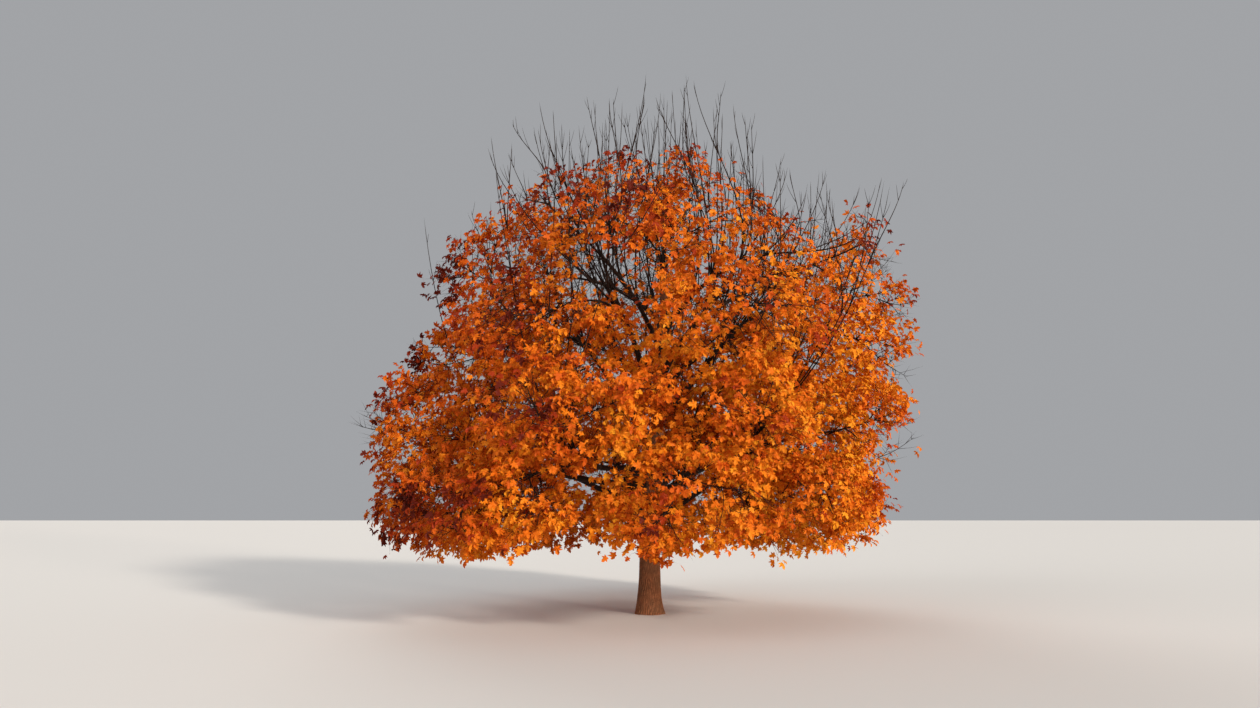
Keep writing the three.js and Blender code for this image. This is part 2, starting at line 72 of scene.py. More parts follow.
# %% Chance by number
ALL_BITS = np.uint64(0xFFFFFFFF)
CHANCE_START = np.uint64(0x2545F491)
FIRST_STIR, FIRST_FOLD = np.uint64(0x9E3779B1), np.uint64(15)
SECOND_STIR, SECOND_FOLD = np.uint64(0x85EBCA6B), np.uint64(13)
CHANCE_RANGE = 2.0**32


def chance(*keys):
    """From 0 up to 1 for each set of whole numbers. Each key is mixed in by a product kept to 32 bits, and
    the high bits are folded onto the low ones. One key is a label for what the chance is used for."""
    mixed = CHANCE_START
    for key in keys:
        mixed = ((mixed ^ np.asarray(key).astype(np.uint64)) * FIRST_STIR) & ALL_BITS
        mixed = mixed ^ (mixed >> FIRST_FOLD)
        mixed = (mixed * SECOND_STIR) & ALL_BITS
        mixed = mixed ^ (mixed >> SECOND_FOLD)
    return mixed / CHANCE_RANGE


def sway(*keys):
    """The same, from -1 to 1."""
    return 2 * chance(*keys) - 1


# %% Directions and mixtures
UP = np.array([0.0, 0.0, 1.0])
LEVEL = np.array([1, 1, 0])
GOLDEN_ANGLE = np.pi * (3 - np.sqrt(5))
SMALLEST_LENGTH = 1e-9


def unit(vectors):
    """Each vector divided by its length."""
    return vectors / np.maximum(np.linalg.norm(vectors, axis=-1, keepdims=True), SMALLEST_LENGTH)


def mix(first, last, share):
    """first where share is 0, last where it is 1, and a straight change between."""
    return first + (last - first) * share


def smooth(values, low, high):
    """0 below low and 1 above high. Between them 3 s^2 - 2 s^3, where s is the share of the way."""
    share = np.clip((values - low) / (high - low), 0, 1)
    return share * share * (3 - 2 * share)


def outwards(azimuth):
    """The level direction at an azimuth, counted from +X towards +Y."""
    return np.stack([np.cos(azimuth), np.sin(azimuth), 0 * azimuth], axis=-1)


def sideways(azimuth):
    """The level direction a quarter turn further on."""
    return np.stack([-np.sin(azimuth), np.cos(azimuth), 0 * azimuth], axis=-1)


def square_to(vectors, normal):
    """What is left of each vector once its part along normal is taken away."""
    return vectors - np.sum(vectors * normal, axis=-1, keepdims=True) * normal


def spiral(step, count, turned):
    """Places strewn evenly over a ball, from its top down: equal steps of height, and turns by the golden
    angle from a first share of a turn. Gives their parts outwards, sideways and upwards."""
    rise = 1 - 2 * (step + 0.5) / count
    turn = step * GOLDEN_ANGLE + 2 * np.pi * turned
    level = np.sqrt(1 - rise**2)
    return level * np.cos(turn), level * np.sin(turn), rise


print("a first chance:", round(float(chance(1, 2)), 4))

# %% [markdown]
# ## Curves and skins
#
# Wood grows in long bends, so each limb and twig follows a cubic curve with four control points. Blender's
# own curves with a bevel would give round tubes too, but thousands of them are slow to turn into meshes.
# Here the points of all tubes of one kind are worked out together, and a skin is laid over their rings.

# %% Cubic curves
LENGTH_PARTS = 8
BEND_REACH = 0.3


def curve_points(controls, shares):
    """Points of cubic curves. The control points are weighed by (1-s)^3, 3s(1-s)^2, 3s^2(1-s) and s^3."""
    s = np.asarray(shares)[..., None]
    weights = np.concatenate([(1 - s) ** 3, 3 * s * (1 - s) ** 2, 3 * s**2 * (1 - s), s**3], axis=-1)
    return np.einsum("...rk,...kc->...rc", weights, controls)


def curve_slopes(controls, shares):
    """Directions of the curves: the steps between control points weighed by (1-s)^2, 2s(1-s) and s^2."""
    s = np.asarray(shares)[..., None]
    weights = np.concatenate([(1 - s) ** 2, 2 * s * (1 - s), s**2], axis=-1)
    return unit(np.einsum("...rk,...kc->...rc", weights, np.diff(controls, axis=-2)))


def places_along(controls, low, high, count):
    """Points and directions at even shares of each curve, from low to high."""
    shares = np.linspace(low, high, count)
    return curve_points(controls, shares).reshape(-1, 3), curve_slopes(controls, shares).reshape(-1, 3)


def curve_lengths(controls):
    """Each curve's length, summed over a few straight parts."""
    steps = np.diff(curve_points(controls, np.linspace(0, 1, LENGTH_PARTS + 1)), axis=-2)
    return np.linalg.norm(steps, axis=-1).sum(axis=-1)


def bend_between(starts, leaving, ends, arriving, reach=BEND_REACH):
    """Control points of curves that leave each start and reach each end in the given directions. The two
    middle points lie a share of the straight way along them."""
    run = np.linalg.norm(ends - starts, axis=-1, keepdims=True)
    return np.stack([starts, starts + leaving * run * reach, ends - arriving * run * reach, ends], axis=-2)


def tell(kind, controls):
    """Prints how many curves of a kind there are and how long they are."""
    print(len(controls), kind, "of", round(float(curve_lengths(controls).mean()), 2), "m on average")


# %% Skins over rings
def circle(count):
    """Even steps round a circle, as angles."""
    return 2 * np.pi * np.arange(count) / count


def ring_directions(slopes):
    """Two directions square to each slope and to each other. The first is the slope crossed with the axis
    that the whole path follows least, so it never turns over along the path."""
    least = np.argmin(np.abs(slopes.mean(axis=-2)), axis=-1)
    first = unit(np.cross(slopes, np.eye(3)[least][..., None, :]))
    return first, np.cross(slopes, first)


def tube_rings(controls, shares, radii, side_count):
    """Rings of corners at some shares of curves: the curve's point plus the radius times the cosine of the
    angle along one square direction and its sine along the other. radii has a row for each ring, with one
    radius or one for each side."""
    middles = curve_points(controls, shares)[..., None, :]
    first, second = ring_directions(curve_slopes(controls, shares))
    angles = circle(side_count)[:, None]
    spokes = first[..., None, :] * np.cos(angles) + second[..., None, :] * np.sin(angles)
    return middles + radii[..., None] * spokes


def skin(rings, tips):
    """Points and triangles of closed skins over rings, an array of tubes by rings by sides by three. Two
    triangles join each side to the next ring, a fan closes the foot, and another runs to the tip."""
    tubes, ring_count, sides, _ = rings.shape
    points = np.concatenate([rings.reshape(tubes, -1, 3), tips[:, None]], axis=1)
    here = np.arange((ring_count - 1) * sides)
    beside = here - here % sides + (here % sides + 1) % sides
    last = (ring_count - 1) * sides + np.arange(sides)
    fan = np.arange(1, sides - 1)
    triangles = np.concatenate([
        np.stack([here, beside, beside + sides], axis=1),
        np.stack([here, beside + sides, here + sides], axis=1),
        np.stack([0 * fan, fan + 1, fan], axis=1),
        np.stack([last, np.roll(last, -1), np.full(sides, ring_count * sides)], axis=1),
    ])
    every = triangles[None] + np.arange(tubes)[:, None, None] * points.shape[1]
    return points.reshape(-1, 3), every.reshape(-1, 3)


def joined(parts):
    """Several sets of points and triangles as one."""
    starts = np.cumsum([0] + [len(points) for points, _ in parts[:-1]])
    points = np.concatenate([points for points, _ in parts])
    return points, np.concatenate([triangles + start for (_, triangles), start in zip(parts, starts)])


# %% From arrays to a Blender piece
def placed(name, data):
    """A new object in the scene that shows a mesh, a lamp or a camera."""
    item = bpy.data.objects.new(name, data)
    bpy.context.scene.collection.objects.link(item)
    return item


def make_piece(name, points, triangles, material, nodes, slot, depth=None):
    """A mesh piece that stands for some of the frame's nodes. Wood is shaded smooth and keeps how deep each
    of its points lies. Leaves have no depth and are shaded flat."""
    mesh = bpy.data.meshes.new(name)
    mesh.vertices.add(len(points))
    mesh.vertices.foreach_set("co", points.astype(np.float32).ravel())
    mesh.loops.add(triangles.size)
    mesh.loops.foreach_set("vertex_index", triangles.astype(np.int32).ravel())
    mesh.polygons.add(len(triangles))
    mesh.polygons.foreach_set("loop_start", np.arange(0, triangles.size, 3, dtype=np.int32))
    mesh.update(calc_edges=True)
    mesh.polygons.foreach_set("use_smooth", np.full(len(triangles), depth is not None))
    if depth is not None:
        mesh.attributes.new("depth", "FLOAT", "POINT").data.foreach_set("value", depth.astype(np.float32))
    mesh.materials.append(material)
    piece = placed(name, mesh)
    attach(piece, "root")
    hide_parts(*nodes)
    print(f"{name}: {len(triangles)} triangles")


# %% [markdown]
# ## The trunk's and the crown's plan
#
# The frame's trunk, masses and boughs follow a few formulas. Their shapes could be read back from the
# frame's meshes, but a mesh doesn't say where a limb starts or bends. So the formulas are written again
# here, in metres, and the fine wood grows on from the same limbs and stays within the same reach.

# %% The trunk's line
TRUNK_HEIGHT = 5.65
FOOT_RADIUS = 0.186
TIP_RADIUS = 0.048
FLARE_RADIUS = 0.056
FLARE_HEIGHT = 0.19
ROOT_RIDGES = 5
ROOT_RIDGE_SHARE = 0.2
TRUNK_LEAN = (0.27, -0.11)
TRUNK_SWAY = 0.038


def trunk_centre(height):
    """The trunk's middle at a height: it leans evenly, and sways once to each side by a sine."""
    share = np.asarray(height, float) / TRUNK_HEIGHT
    bend = TRUNK_SWAY * np.sin(2 * np.pi * share)
    right, away = TRUNK_LEAN[0] * share - bend, TRUNK_LEAN[1] * share + bend
    return np.stack([right, away, share * TRUNK_HEIGHT], axis=-1)


def trunk_beside(height):
    """The trunk's middle at a height, or its tip above that."""
    return trunk_centre(np.minimum(height, TRUNK_HEIGHT))


def trunk_radius(height, angle):
    """An even taper plus the flare, which dies away upwards and swells into root ridges by a cosine."""
    flare = FLARE_RADIUS * np.exp(-height / FLARE_HEIGHT)
    ridge = 1 + ROOT_RIDGE_SHARE * np.cos(ROOT_RIDGES * angle)
    return mix(FOOT_RADIUS, TIP_RADIUS, height / TRUNK_HEIGHT) + flare * ridge


# %% The crown's outline
SKIRT_HEIGHT, SKIRT_REACH = 1.2, 4.1
WIDEST_HEIGHT, WIDEST_REACH = 2.6, 4.5
SHOULDER_HEIGHT, SHOULDER_REACH = 5.3, 4.15
LEAF_TOP_HEIGHT = 8.0
LOW_LEFT_SHARE = 0.1
HIGH_RIGHT_SHARE = 0.05


def crown_reach(height, azimuth):
    """How far leaves reach from the trunk: smooth steps up to the shoulder, and a quarter ellipse above it.
    A cosine of the azimuth makes the crown fuller to the left low down and to the right high up."""
    low = mix(SKIRT_REACH, WIDEST_REACH, smooth(height, SKIRT_HEIGHT, WIDEST_HEIGHT))
    upwards = smooth(height, WIDEST_HEIGHT, SHOULDER_HEIGHT)
    middle = mix(WIDEST_REACH, SHOULDER_REACH, upwards)
    rise = np.clip((height - SHOULDER_HEIGHT) / (LEAF_TOP_HEIGHT - SHOULDER_HEIGHT), 0, 1)
    reach = np.where(height < WIDEST_HEIGHT, low, middle) * np.sqrt(1 - rise**2)
    return reach * (1 + mix(-LOW_LEFT_SHARE, HIGH_RIGHT_SHARE, upwards) * np.cos(azimuth))


# %% The masses of foliage
# For each tier: the number of masses, their height, the first one's azimuth, half their size outwards,
# sideways and upwards, and the number of main twigs in each
TIERS = {
    "skirt": (8, 1.78, 0, (1.25, 1.4, 0.68), 5),
    "lower": (8, 2.85, 22.5, (1.4, 1.45, 0.85), 5),
    "middle": (7, 4.05, 180, (1.4, 1.5, 0.9), 5),
    "upper": (7, 5.25, 205.7, (1.35, 1.4, 0.95), 5),
    "shoulder": (5, 6.3, 20, (1.25, 1.4, 0.9), 5),
    "top": (2, 7.05, 145, (1.15, 1.3, 0.95), 7),
}
SEEDS_IN_TIER = 100
TOP_MASS_OFFSET = 0.82
FRONT_DROP = 0.26
AZIMUTH_JITTER = 5
HEIGHT_JITTER = 0.11
REACH_JITTER = 0.03


def plan_tier(number, name):
    """Seeds, azimuths and centres of a tier's masses, which stand in a ring just inside the outline."""
    count, height, first, half, _ = TIERS[name]
    place = np.arange(count)
    seeds = SEEDS_IN_TIER * (number + 1) + place
    azimuths = np.radians(first + 360 * place / count + AZIMUTH_JITTER * sway(seeds, 1))
    drop = FRONT_DROP * np.maximum(0, -np.sin(azimuths)) * (height > SHOULDER_HEIGHT)
    heights = height - drop + HEIGHT_JITTER * sway(seeds, 2)
    middles = trunk_beside(heights)
    middles[:, 2] = heights
    reach = crown_reach(heights, azimuths) * (1 + REACH_JITTER * sway(seeds, 3))
    distance = np.full(count, TOP_MASS_OFFSET) if name == "top" else reach - half[0]
    return seeds, azimuths, middles + outwards(azimuths) * distance[:, None]


counts, _, _, tier_halves, main_twigs = zip(*TIERS.values())
tier_counts = dict(zip(TIERS, counts))
first_of = dict(zip(TIERS, np.cumsum([0, *counts])))
tier_of = np.repeat(np.arange(len(TIERS)), counts)
halves = np.array(tier_halves)[tier_of]
plans = [plan_tier(number, name) for number, name in enumerate(TIERS)]
seeds, azimuths, centres = (np.concatenate(column) for column in zip(*plans))
mass_names = [f"{name}_foliage_{place + 1}" for name in TIERS for place in range(tier_counts[name])]
print(len(centres), "masses, the highest centred at", round(float(centres[:, 2].max()), 2), "m")

# %% Each mass's own space
SPACE_MARGIN = 0.008
DRAW_STEPS = 12
DRAW_SHARE = 0.1


def in_space(points, owners, margin=SPACE_MARGIN):
    """Whether each point is nearer to its own mass's centre than the plane halfway to each other centre."""
    towards = centres[None] - centres[owners][:, None]
    distance = np.linalg.norm(towards, axis=-1)
    reached = np.einsum("nc,nmc->nm", points - centres[owners], towards)
    return np.all((reached < distance * (distance / 2 - margin)) | (distance == 0), axis=1)


def point_in(owners, *shares):
    """A point of a mass, from its shares of the mass's half sizes outwards, sideways and upwards."""
    shares = np.stack(np.broadcast_arrays(*shares), axis=-1) * halves[owners]
    away, across = outwards(azimuths[owners]), sideways(azimuths[owners])
    return centres[owners] + away * shares[..., :1] + across * shares[..., 1:2] + UP * shares[..., 2:]


def drawn_in(points, owners):
    """Points outside their mass's space are drawn a tenth of the way to its centre, again and again."""
    drawn = points.copy()
    for _ in range(DRAW_STEPS):
        outside = ~in_space(drawn, owners)
        drawn[outside] = mix(drawn[outside], centres[owners[outside]], DRAW_SHARE)
    return drawn


# %% The boughs' lines
# For each kind: the tiers it carries, the lowest and highest start, the pitch at both, the steps of height
# from one bough to its neighbour, and the radii at the trunk and at the tip
BOUGHS = {
    "low": (("skirt", "lower"), (1.5, 2.45), (20, -18), 3, (0.062, 0.034)),
    "middle": (("middle", "upper"), (2.7, 3.75), (50, 42), 3, (0.06, 0.032)),
    "high": (("shoulder",), (3.98, 4.7), (56, 50), 2, (0.044, 0.026)),
}
TIP_DROP = 0.7
TIP_SHARE = 0.98
FIRST_REACH, LAST_REACH = 0.4, 0.28
FLATTENING = 0.35
SWING = 0.06


def fork_point(carried):
    """Where a bough's tip lies: inwards from the middle of its masses, on the plane that parts two masses,
    and a little downwards of a single one."""
    middle = centres[carried].mean(axis=0)
    inwards = -outwards(np.arctan2(middle[1], middle[0]))
    if len(carried) == 1:
        inwards = inwards - UP * TIP_DROP
    else:
        inwards = square_to(inwards, unit(centres[carried[1]] - centres[carried[0]]))
    return middle + unit(inwards) * TIP_SHARE * halves[carried[0]][0]


def plan_bough(kind, place):
    """A bough's name, masses, control points and radii. It leaves the trunk at its pitch, swings a little
    sideways, and arrives flatter than it came."""
    carries, heights, pitches, step, radii = BOUGHS[kind]
    count = tier_counts[carries[0]]
    carried = [first_of[name] + place for name in carries]
    order = (place * step) % count
    share = order / (count - 1)
    start, tip = trunk_centre(mix(*heights, share)), fork_point(carried)
    run = np.linalg.norm(tip - start)
    flat = unit((tip - start) * LEVEL)
    pitch = np.radians(mix(*pitches, share))
    bend = start + (flat * np.cos(pitch) + UP * np.sin(pitch)) * run * FIRST_REACH
    arriving = unit(unit(tip - bend) + flat * FLATTENING)
    swing = np.cross(flat, UP) * run * SWING * sway(place, order, 7)
    controls = np.array([start, bend + swing, tip - arriving * run * LAST_REACH - swing, tip])
    return f"{kind}_bough_{place + 1}", carried, controls, radii


bough_plans = [
    plan_bough(kind, place)
    for kind, (carries, *_) in BOUGHS.items()
    for place in range(tier_counts[carries[0]])
]
bough_names, bough_masses, bough_controls, bough_radii = zip(*bough_plans)
bough_controls = np.array(bough_controls)
tell("boughs", bough_controls)

# %% [markdown]
# ## Bark that stands out
#
# This maple's bark is split into narrow ridges that run up the trunk and meet again in long diamonds. A bump
# in the material alone would leave the trunk's edge smooth, so the ridges are moved in the mesh itself. Two
# sets of furrows lean opposite ways, and where either one passes the bark is low.

# %% Waves and furrows round a limb
FURROW_SHARPNESS = 2.2
FURROW_WANDER = 0.55
WANDER_WAVES = 10
# For each set of furrows, how far its waves turn for each ridge and how many lie along a diamond
WANDERS = [(0.22, 1.2), (0.3, 1.6)]


def waves(turn, along, seed, count, most_turns, most_pitch):
    """A field of rolling bumps, mostly between -1.5 and 1.5: a sum of cosines, each with a whole number of
    waves round the limb, so that it closes on itself, a number of waves a metre along it, and a phase."""
    number = np.arange(count)
    around = np.round(most_turns * sway(seed, number, 61))
    pitch = 2 * np.pi * most_pitch * chance(seed, number, 62)
    phase = 2 * np.pi * chance(seed, number, 63)
    total = 0
    for wave in number:
        total = total + np.cos(around[wave] * turn + pitch[wave] * along + phase[wave])
    return total / np.sqrt(count / 2)


def furrows(turn, along, seed, ridges, diamond):
    """How low the bark is: 0 on a ridge's crest and 1 in a furrow. Each set of furrows is the nearness of a
    sine to zero. The sines lean opposite ways, by half a wave each diamond, and wander by waves."""
    lean = np.pi * along / diamond
    crests = []
    for number, (turns, pitch) in enumerate(WANDERS):
        wander = waves(turn, along, seed + number, WANDER_WAVES, ridges * turns, pitch / diamond)
        crests.append(np.abs(np.sin(ridges * turn / 2 + lean + FURROW_WANDER * wander)))
        lean = -lean
    return (1 - np.minimum(*crests)) ** FURROW_SHARPNESS


# %% Helpers for materials
def new_material(name):
    """A material whose nodes are only its shader and its output."""
    material = bpy.data.materials.new(name)
    material.use_nodes = True
    return material, material.node_tree, material.node_tree.nodes["Principled BSDF"]


def add_node(tree, kind, sources=(), **settings):
    """A node with its settings, and with each source socket or number put into its input of that name."""
    node = tree.nodes.new(kind)
    for setting, value in settings.items():
        setattr(node, setting, value)
    for name, source in dict(sources).items():
        if isinstance(source, bpy.types.NodeSocket):
            tree.links.new(source, node.inputs[name])
        else:
            node.inputs[name].default_value = source
    return node


def noise(tree, place, look):
    """A noise over places, from 0 to 1."""
    return add_node(tree, "ShaderNodeTexNoise", {"Vector": place, **look}).outputs["Fac"]


def ranged(tree, value, look):
    """A value carried from one range to another."""
    return add_node(tree, "ShaderNodeMapRange", {"Value": value, **look}).outputs[0]


def blend(tree, share, first, second):
    """One colour changing into another by a share. Sockets 6 and 7 are the node's two colours."""
    return add_node(tree, "ShaderNodeMix", {0: share, 6: first, 7: second}, data_type="RGBA").outputs[2]


def roughen(tree, shader, fine, look, strength, depth):
    """Roughness and bump from one fine noise."""
    bump = add_node(tree, "ShaderNodeBump", {"Height": fine, "Strength": strength, "Distance": depth})
    tree.links.new(ranged(tree, fine, look), shader.inputs["Roughness"])
    tree.links.new(bump.outputs[0], shader.inputs["Normal"])


def linear(red, green, blue):
    """A colour given as it looks on a screen, 0 to 255, as the light that Blender reckons with."""
    return tuple(float((part / 255) ** 2.2) for part in (red, green, blue)) + (1.0,)


# %% [markdown]
# ## The finish of the bark
#
# On the trunk the ridges are a warm brown and the furrows nearly black with painted shade, and the limbs
# inside the crown get a darker copy of the bark as painted shade. A picture of bark could be wrapped round
# each limb, but it would stretch on the thin ones. So the mesh tells the material how deep each point lies,
# and the painted shade sits in the furrows on any limb. Weather adds wide patches, and a fine noise stands
# for the corky grain.

# %% Bark materials
# The colours of crests, furrows and patches, and the size of the grain
BARKS = {
    # Furrow colours are painted shade. The bough and twig barks are darker copies, as painted shade in the
    # crown.
    "furrowed_trunk_bark": ((158, 102, 70), (46, 26, 17), (132, 92, 66), 0.012),
    "furrowed_bough_bark": ((60, 42, 33), (22, 15, 11), (48, 38, 31), 0.01),
    "smooth_twig_bark_painted_shade": ((36, 25, 20), (22, 15, 12), (46, 31, 23), 0.02),
}
WEATHER = {"Scale": 5.0, "Detail": 4.0}
WORN = {"From Min": 0.42, "From Max": 0.68}
GRAIN_STRETCH = (1.0, 1.0, 0.35)
GRAIN = {"Detail": 5.0, "Roughness": 0.6}
SPECKLE = {"From Min": 0.5, "From Max": 0.8, "To Max": 0.7}
BARK_ROUGHNESS = {"To Min": 0.78, "To Max": 0.98}
BARK_BUMP = 0.6
BARK_SHINE = 0.25


def bark_material(name, crest, furrow, patch, grain_size):
    """Brown bark: crest to furrow colour by depth as painted shade, patches by a wide noise, fine noise as
    bump.
    """
    material, tree, shader = new_material(name)
    place = add_node(tree, "ShaderNodeTexCoord").outputs["Object"]
    stretched = add_node(tree, "ShaderNodeMapping", {"Vector": place, "Scale": GRAIN_STRETCH}).outputs[0]
    depth = add_node(tree, "ShaderNodeAttribute", attribute_name="depth").outputs["Fac"]
    grain = noise(tree, stretched, {"Scale": 1 / grain_size, **GRAIN})
    worn = ranged(tree, noise(tree, place, WEATHER), WORN)
    patched = blend(tree, worn, linear(*crest), linear(*patch))
    grained = blend(tree, ranged(tree, grain, SPECKLE), patched, linear(*furrow))
    # Painted shade: the colour darkens towards the furrow colour where the bark lies deep.
    tree.links.new(blend(tree, depth, grained, linear(*furrow)), shader.inputs["Base Color"])
    shader.inputs["Specular IOR Level"].default_value = BARK_SHINE
    roughen(tree, shader, grain, BARK_ROUGHNESS, BARK_BUMP, grain_size / 2)
    return material


trunk_bark, bough_bark, twig_bark = (bark_material(name, *look) for name, look in BARKS.items())
print("bark materials:", list(BARKS))

# %% [markdown]
# ## The trunk
#
# The trunk tapers from its flare to a thin tip inside the crown, and its foot is cut flat at the ground. It
# could be sculpted from a cylinder, but one grid of height by angle keeps the frame's line and measures.
# Its rows stand close together where the trunk shows, below the leaves.

# %% Trunk
TRUNK_SIDES = 264
CLEAR_TRUNK_HEIGHT = 1.7
SHOWN_ROWS, HIDDEN_ROWS = 190, 160
TRUNK_RIDGES = 44
TRUNK_DIAMOND = 0.3
TRUNK_FURROW_DEPTH = 0.009
TRUNK_FURROW_SEED, TRUNK_LUMP_SEED = 11, 21
# The lumps' share of the radius, then their number of waves, most turns and most waves a metre
LUMP_SHARE = 0.018
TRUNK_LUMPS = (8, 5, 1.6)
TRUNK_TIP_SHARE = 0.5
TIP_DEPTH = 0.5


def trunk_grid():
    """Rings of points: the trunk's middle plus its radius, less the furrow's depth, plus slow lumps, which
    are a share of the radius. The relief fades out towards the thin tip."""
    shown = np.linspace(0, CLEAR_TRUNK_HEIGHT, SHOWN_ROWS, endpoint=False)
    hidden = np.linspace(CLEAR_TRUNK_HEIGHT, TRUNK_HEIGHT, HIDDEN_ROWS)
    height = np.concatenate([shown, hidden])[:, None]
    angle = circle(TRUNK_SIDES)[None]
    low = furrows(angle, height, TRUNK_FURROW_SEED, TRUNK_RIDGES, TRUNK_DIAMOND)
    thickness = trunk_radius(height, angle)
    lumps = LUMP_SHARE * thickness * waves(angle, height, TRUNK_LUMP_SEED, *TRUNK_LUMPS)
    radius = thickness + lumps - TRUNK_FURROW_DEPTH * np.minimum(thickness / FOOT_RADIUS, 1) * low
    return trunk_centre(height) + radius[..., None] * outwards(angle), low


rings, low = trunk_grid()
tip = rings[-1].mean(axis=0) + UP * TIP_RADIUS * TRUNK_TIP_SHARE
mesh = skin(rings[None], tip[None])
make_piece("trunk_with_bark", *mesh, trunk_bark, ["trunk"], "trunk_bark", np.append(low, TIP_DEPTH))

# %% [markdown]
# ## The boughs
#
# Each bough swells into a collar where it leaves the trunk and thins towards its fork. It could be fused to
# the trunk, but that would tear both grids. So it is a grid of its own with the same furrows, only finer,
# and its foot starts inside the trunk, where no gap shows.

# %% Boughs
BOUGH_SIDES = 36
BOUGH_ROWS = 84
BOUGH_RIDGES = 12
BOUGH_DIAMOND = 0.22
BOUGH_FURROW_SHARE = 0.07
BOUGH_FURROW_SEED, BOUGH_LUMP_SEED = 100, 200
BOUGH_LUMPS = (8, 3, 2.2)
BOUGH_TAPER_POWER = 0.8
BOUGH_TIP_SHARE = 0.7
COLLAR_SHARE = 0.35
COLLAR_LENGTH_SHARE = 0.09


def bough_grid(number):
    """A bough's rings, tip and depths. The radius thins by a power of the share and has a collar that dies
    away from the trunk. Furrows and lumps are shares of it."""
    controls, (thick, thin) = bough_controls[number], bough_radii[number]
    share = np.linspace(0, 1, BOUGH_ROWS)
    along = (share * curve_lengths(controls))[:, None]
    angle = circle(BOUGH_SIDES)[None]
    low = furrows(angle, along, BOUGH_FURROW_SEED + 2 * number, BOUGH_RIDGES, BOUGH_DIAMOND)
    lumps = waves(angle, along, BOUGH_LUMP_SEED + number, *BOUGH_LUMPS)
    collar = COLLAR_SHARE * thick * np.exp(-share / COLLAR_LENGTH_SHARE)
    radius = (mix(thick, thin, share**BOUGH_TAPER_POWER) + collar)[:, None]
    radius = radius * (1 - BOUGH_FURROW_SHARE * low + LUMP_SHARE * lumps)
    tip = controls[3] + curve_slopes(controls, share)[-1] * thin * BOUGH_TIP_SHARE
    return tube_rings(controls, share, radius, BOUGH_SIDES), tip, np.append(low, TIP_DEPTH)


rings, tips, depths = zip(*[bough_grid(number) for number in range(len(bough_names))])
mesh = skin(np.array(rings), np.array(tips))
make_piece("boughs_with_bark", *mesh, bough_bark, bough_names, "bough_bark", np.concatenate(depths))

# %% [markdown]
# ## Where the leaves are
#
# Leaves don't fill the crown evenly. They keep under a ragged dome, they gather in clumps, and in places
# the sky or bare wood shows. A cloud of points could be painted by hand, but a formula for the share of
# leaves at any point is easier to change, and every later step can ask it.

# %% Clumps
SPACE_WAVES = 14
CLUMP_SIZES = (0.8, 1.6)
CLUMP_FLATNESS = 1.6
CLUMP_EDGES = (-1.1, 0.25)


def space_waves(points, sizes, key):
    """A field of soft lumps in space, mostly from -1.5 to 1.5: a sum of cosine waves that run in evenly
    spread directions, each with its own length between the two sizes and its own phase."""
    number = np.arange(SPACE_WAVES)
    heading = np.stack(spiral(number, SPACE_WAVES, 0), axis=-1)
    size = mix(*sizes, chance(number, key))
    angle = 2 * np.pi * (points @ heading.T / size + chance(number, key + 1))
    return np.cos(angle).sum(axis=-1) / np.sqrt(SPACE_WAVES / 2)


def clumps(points):
    """Where leaves gather, from 0 to 1: waves through space, cut by a smooth step. The clumps are flat
    plates, because heights count more than level places."""
    return smooth(space_waves(points * [1, 1, CLUMP_FLATNESS], CLUMP_SIZES, 41), *CLUMP_EDGES)


# %% Gaps
VIEW_DISTANCE = 14.0
VIEW_SIDE = -0.31
EYE_HEIGHT = 1.6
# Where the photograph shows sky or bare wood: side, height, half width and half height on the trunk's plane
# as seen from the usual view, and the share of leaves that is missing. Below zero the place is fuller.
GAPS = [
    (-0.75, 5.65, 1.0, 0.62, 0.96), (-1.2, 4.45, 0.35, 0.3, 0.8), (-0.95, 4.0, 0.3, 0.25, 0.8),
    (-2.2, 3.35, 0.6, 0.22, 0.7), (-1.0, 2.3, 0.55, 0.3, 0.6), (1.0, 1.93, 0.55, 0.15, 0.85),
    (-1.4, 2.1, 0.65, 0.18, 0.6), (-3.3, 4.5, 0.6, 0.5, -0.6), (2.7, 6.9, 1.2, 0.6, 0.3),
    (1.6, 5.1, 0.8, 0.35, 0.6), (0.3, 4.9, 0.5, 0.4, 0.5), (1.3, 4.3, 0.4, 0.25, 0.5),
    (-4.95, 3.05, 0.75, 0.45, 1.0), (-4.85, 1.9, 0.65, 0.22, 1.0), (-4.15, 4.85, 0.25, 0.16, 0.9),
    (-3.9, 5.6, 0.4, 0.12, 0.8), (4.3, 5.8, 0.6, 0.3, 1.0), (4.45, 3.95, 0.65, 0.32, 1.0),
    (4.45, 2.85, 0.65, 0.34, 1.0), (4.5, 5.0, 0.55, 0.2, 0.9), (4.2, 1.2, 0.6, 0.25, 1.0),
    (3.0, 0.9, 0.8, 0.2, 0.95), (-4.9, 1.35, 0.6, 0.25, 0.9),
]
BOUGH_GAP = (0.3, 0.15, 0.7)
BOUGH_GAP_PLACE = 0.55


def seen_at(points):
    """Side and height at which a point shows on the upright plane through the trunk, from the usual view."""
    size = VIEW_DISTANCE / (VIEW_DISTANCE + points[..., 1])
    return VIEW_SIDE + (points[..., 0] - VIEW_SIDE) * size, EYE_HEIGHT + (points[..., 2] - EYE_HEIGHT) * size


def bough_gaps():
    """A gap where the middle of each bough on the near side shows, so that dark wood is seen."""
    middles = curve_points(bough_controls, [BOUGH_GAP_PLACE])[:, 0]
    return [(*place, *BOUGH_GAP) for place in zip(*seen_at(middles[middles[:, 1] < 0]))]


all_gaps = GAPS + bough_gaps()
print(len(all_gaps), "gaps")

# %% How leafy the crown is
THINNING_HEIGHTS = (2.4, 6.2)
TOP_LEAFINESS = 0.3
BETWEEN_CLUMPS = 0.12
LEAFY_REACH = (0.4, 1.9)
HEIGHT_AS_REACH = 0.35


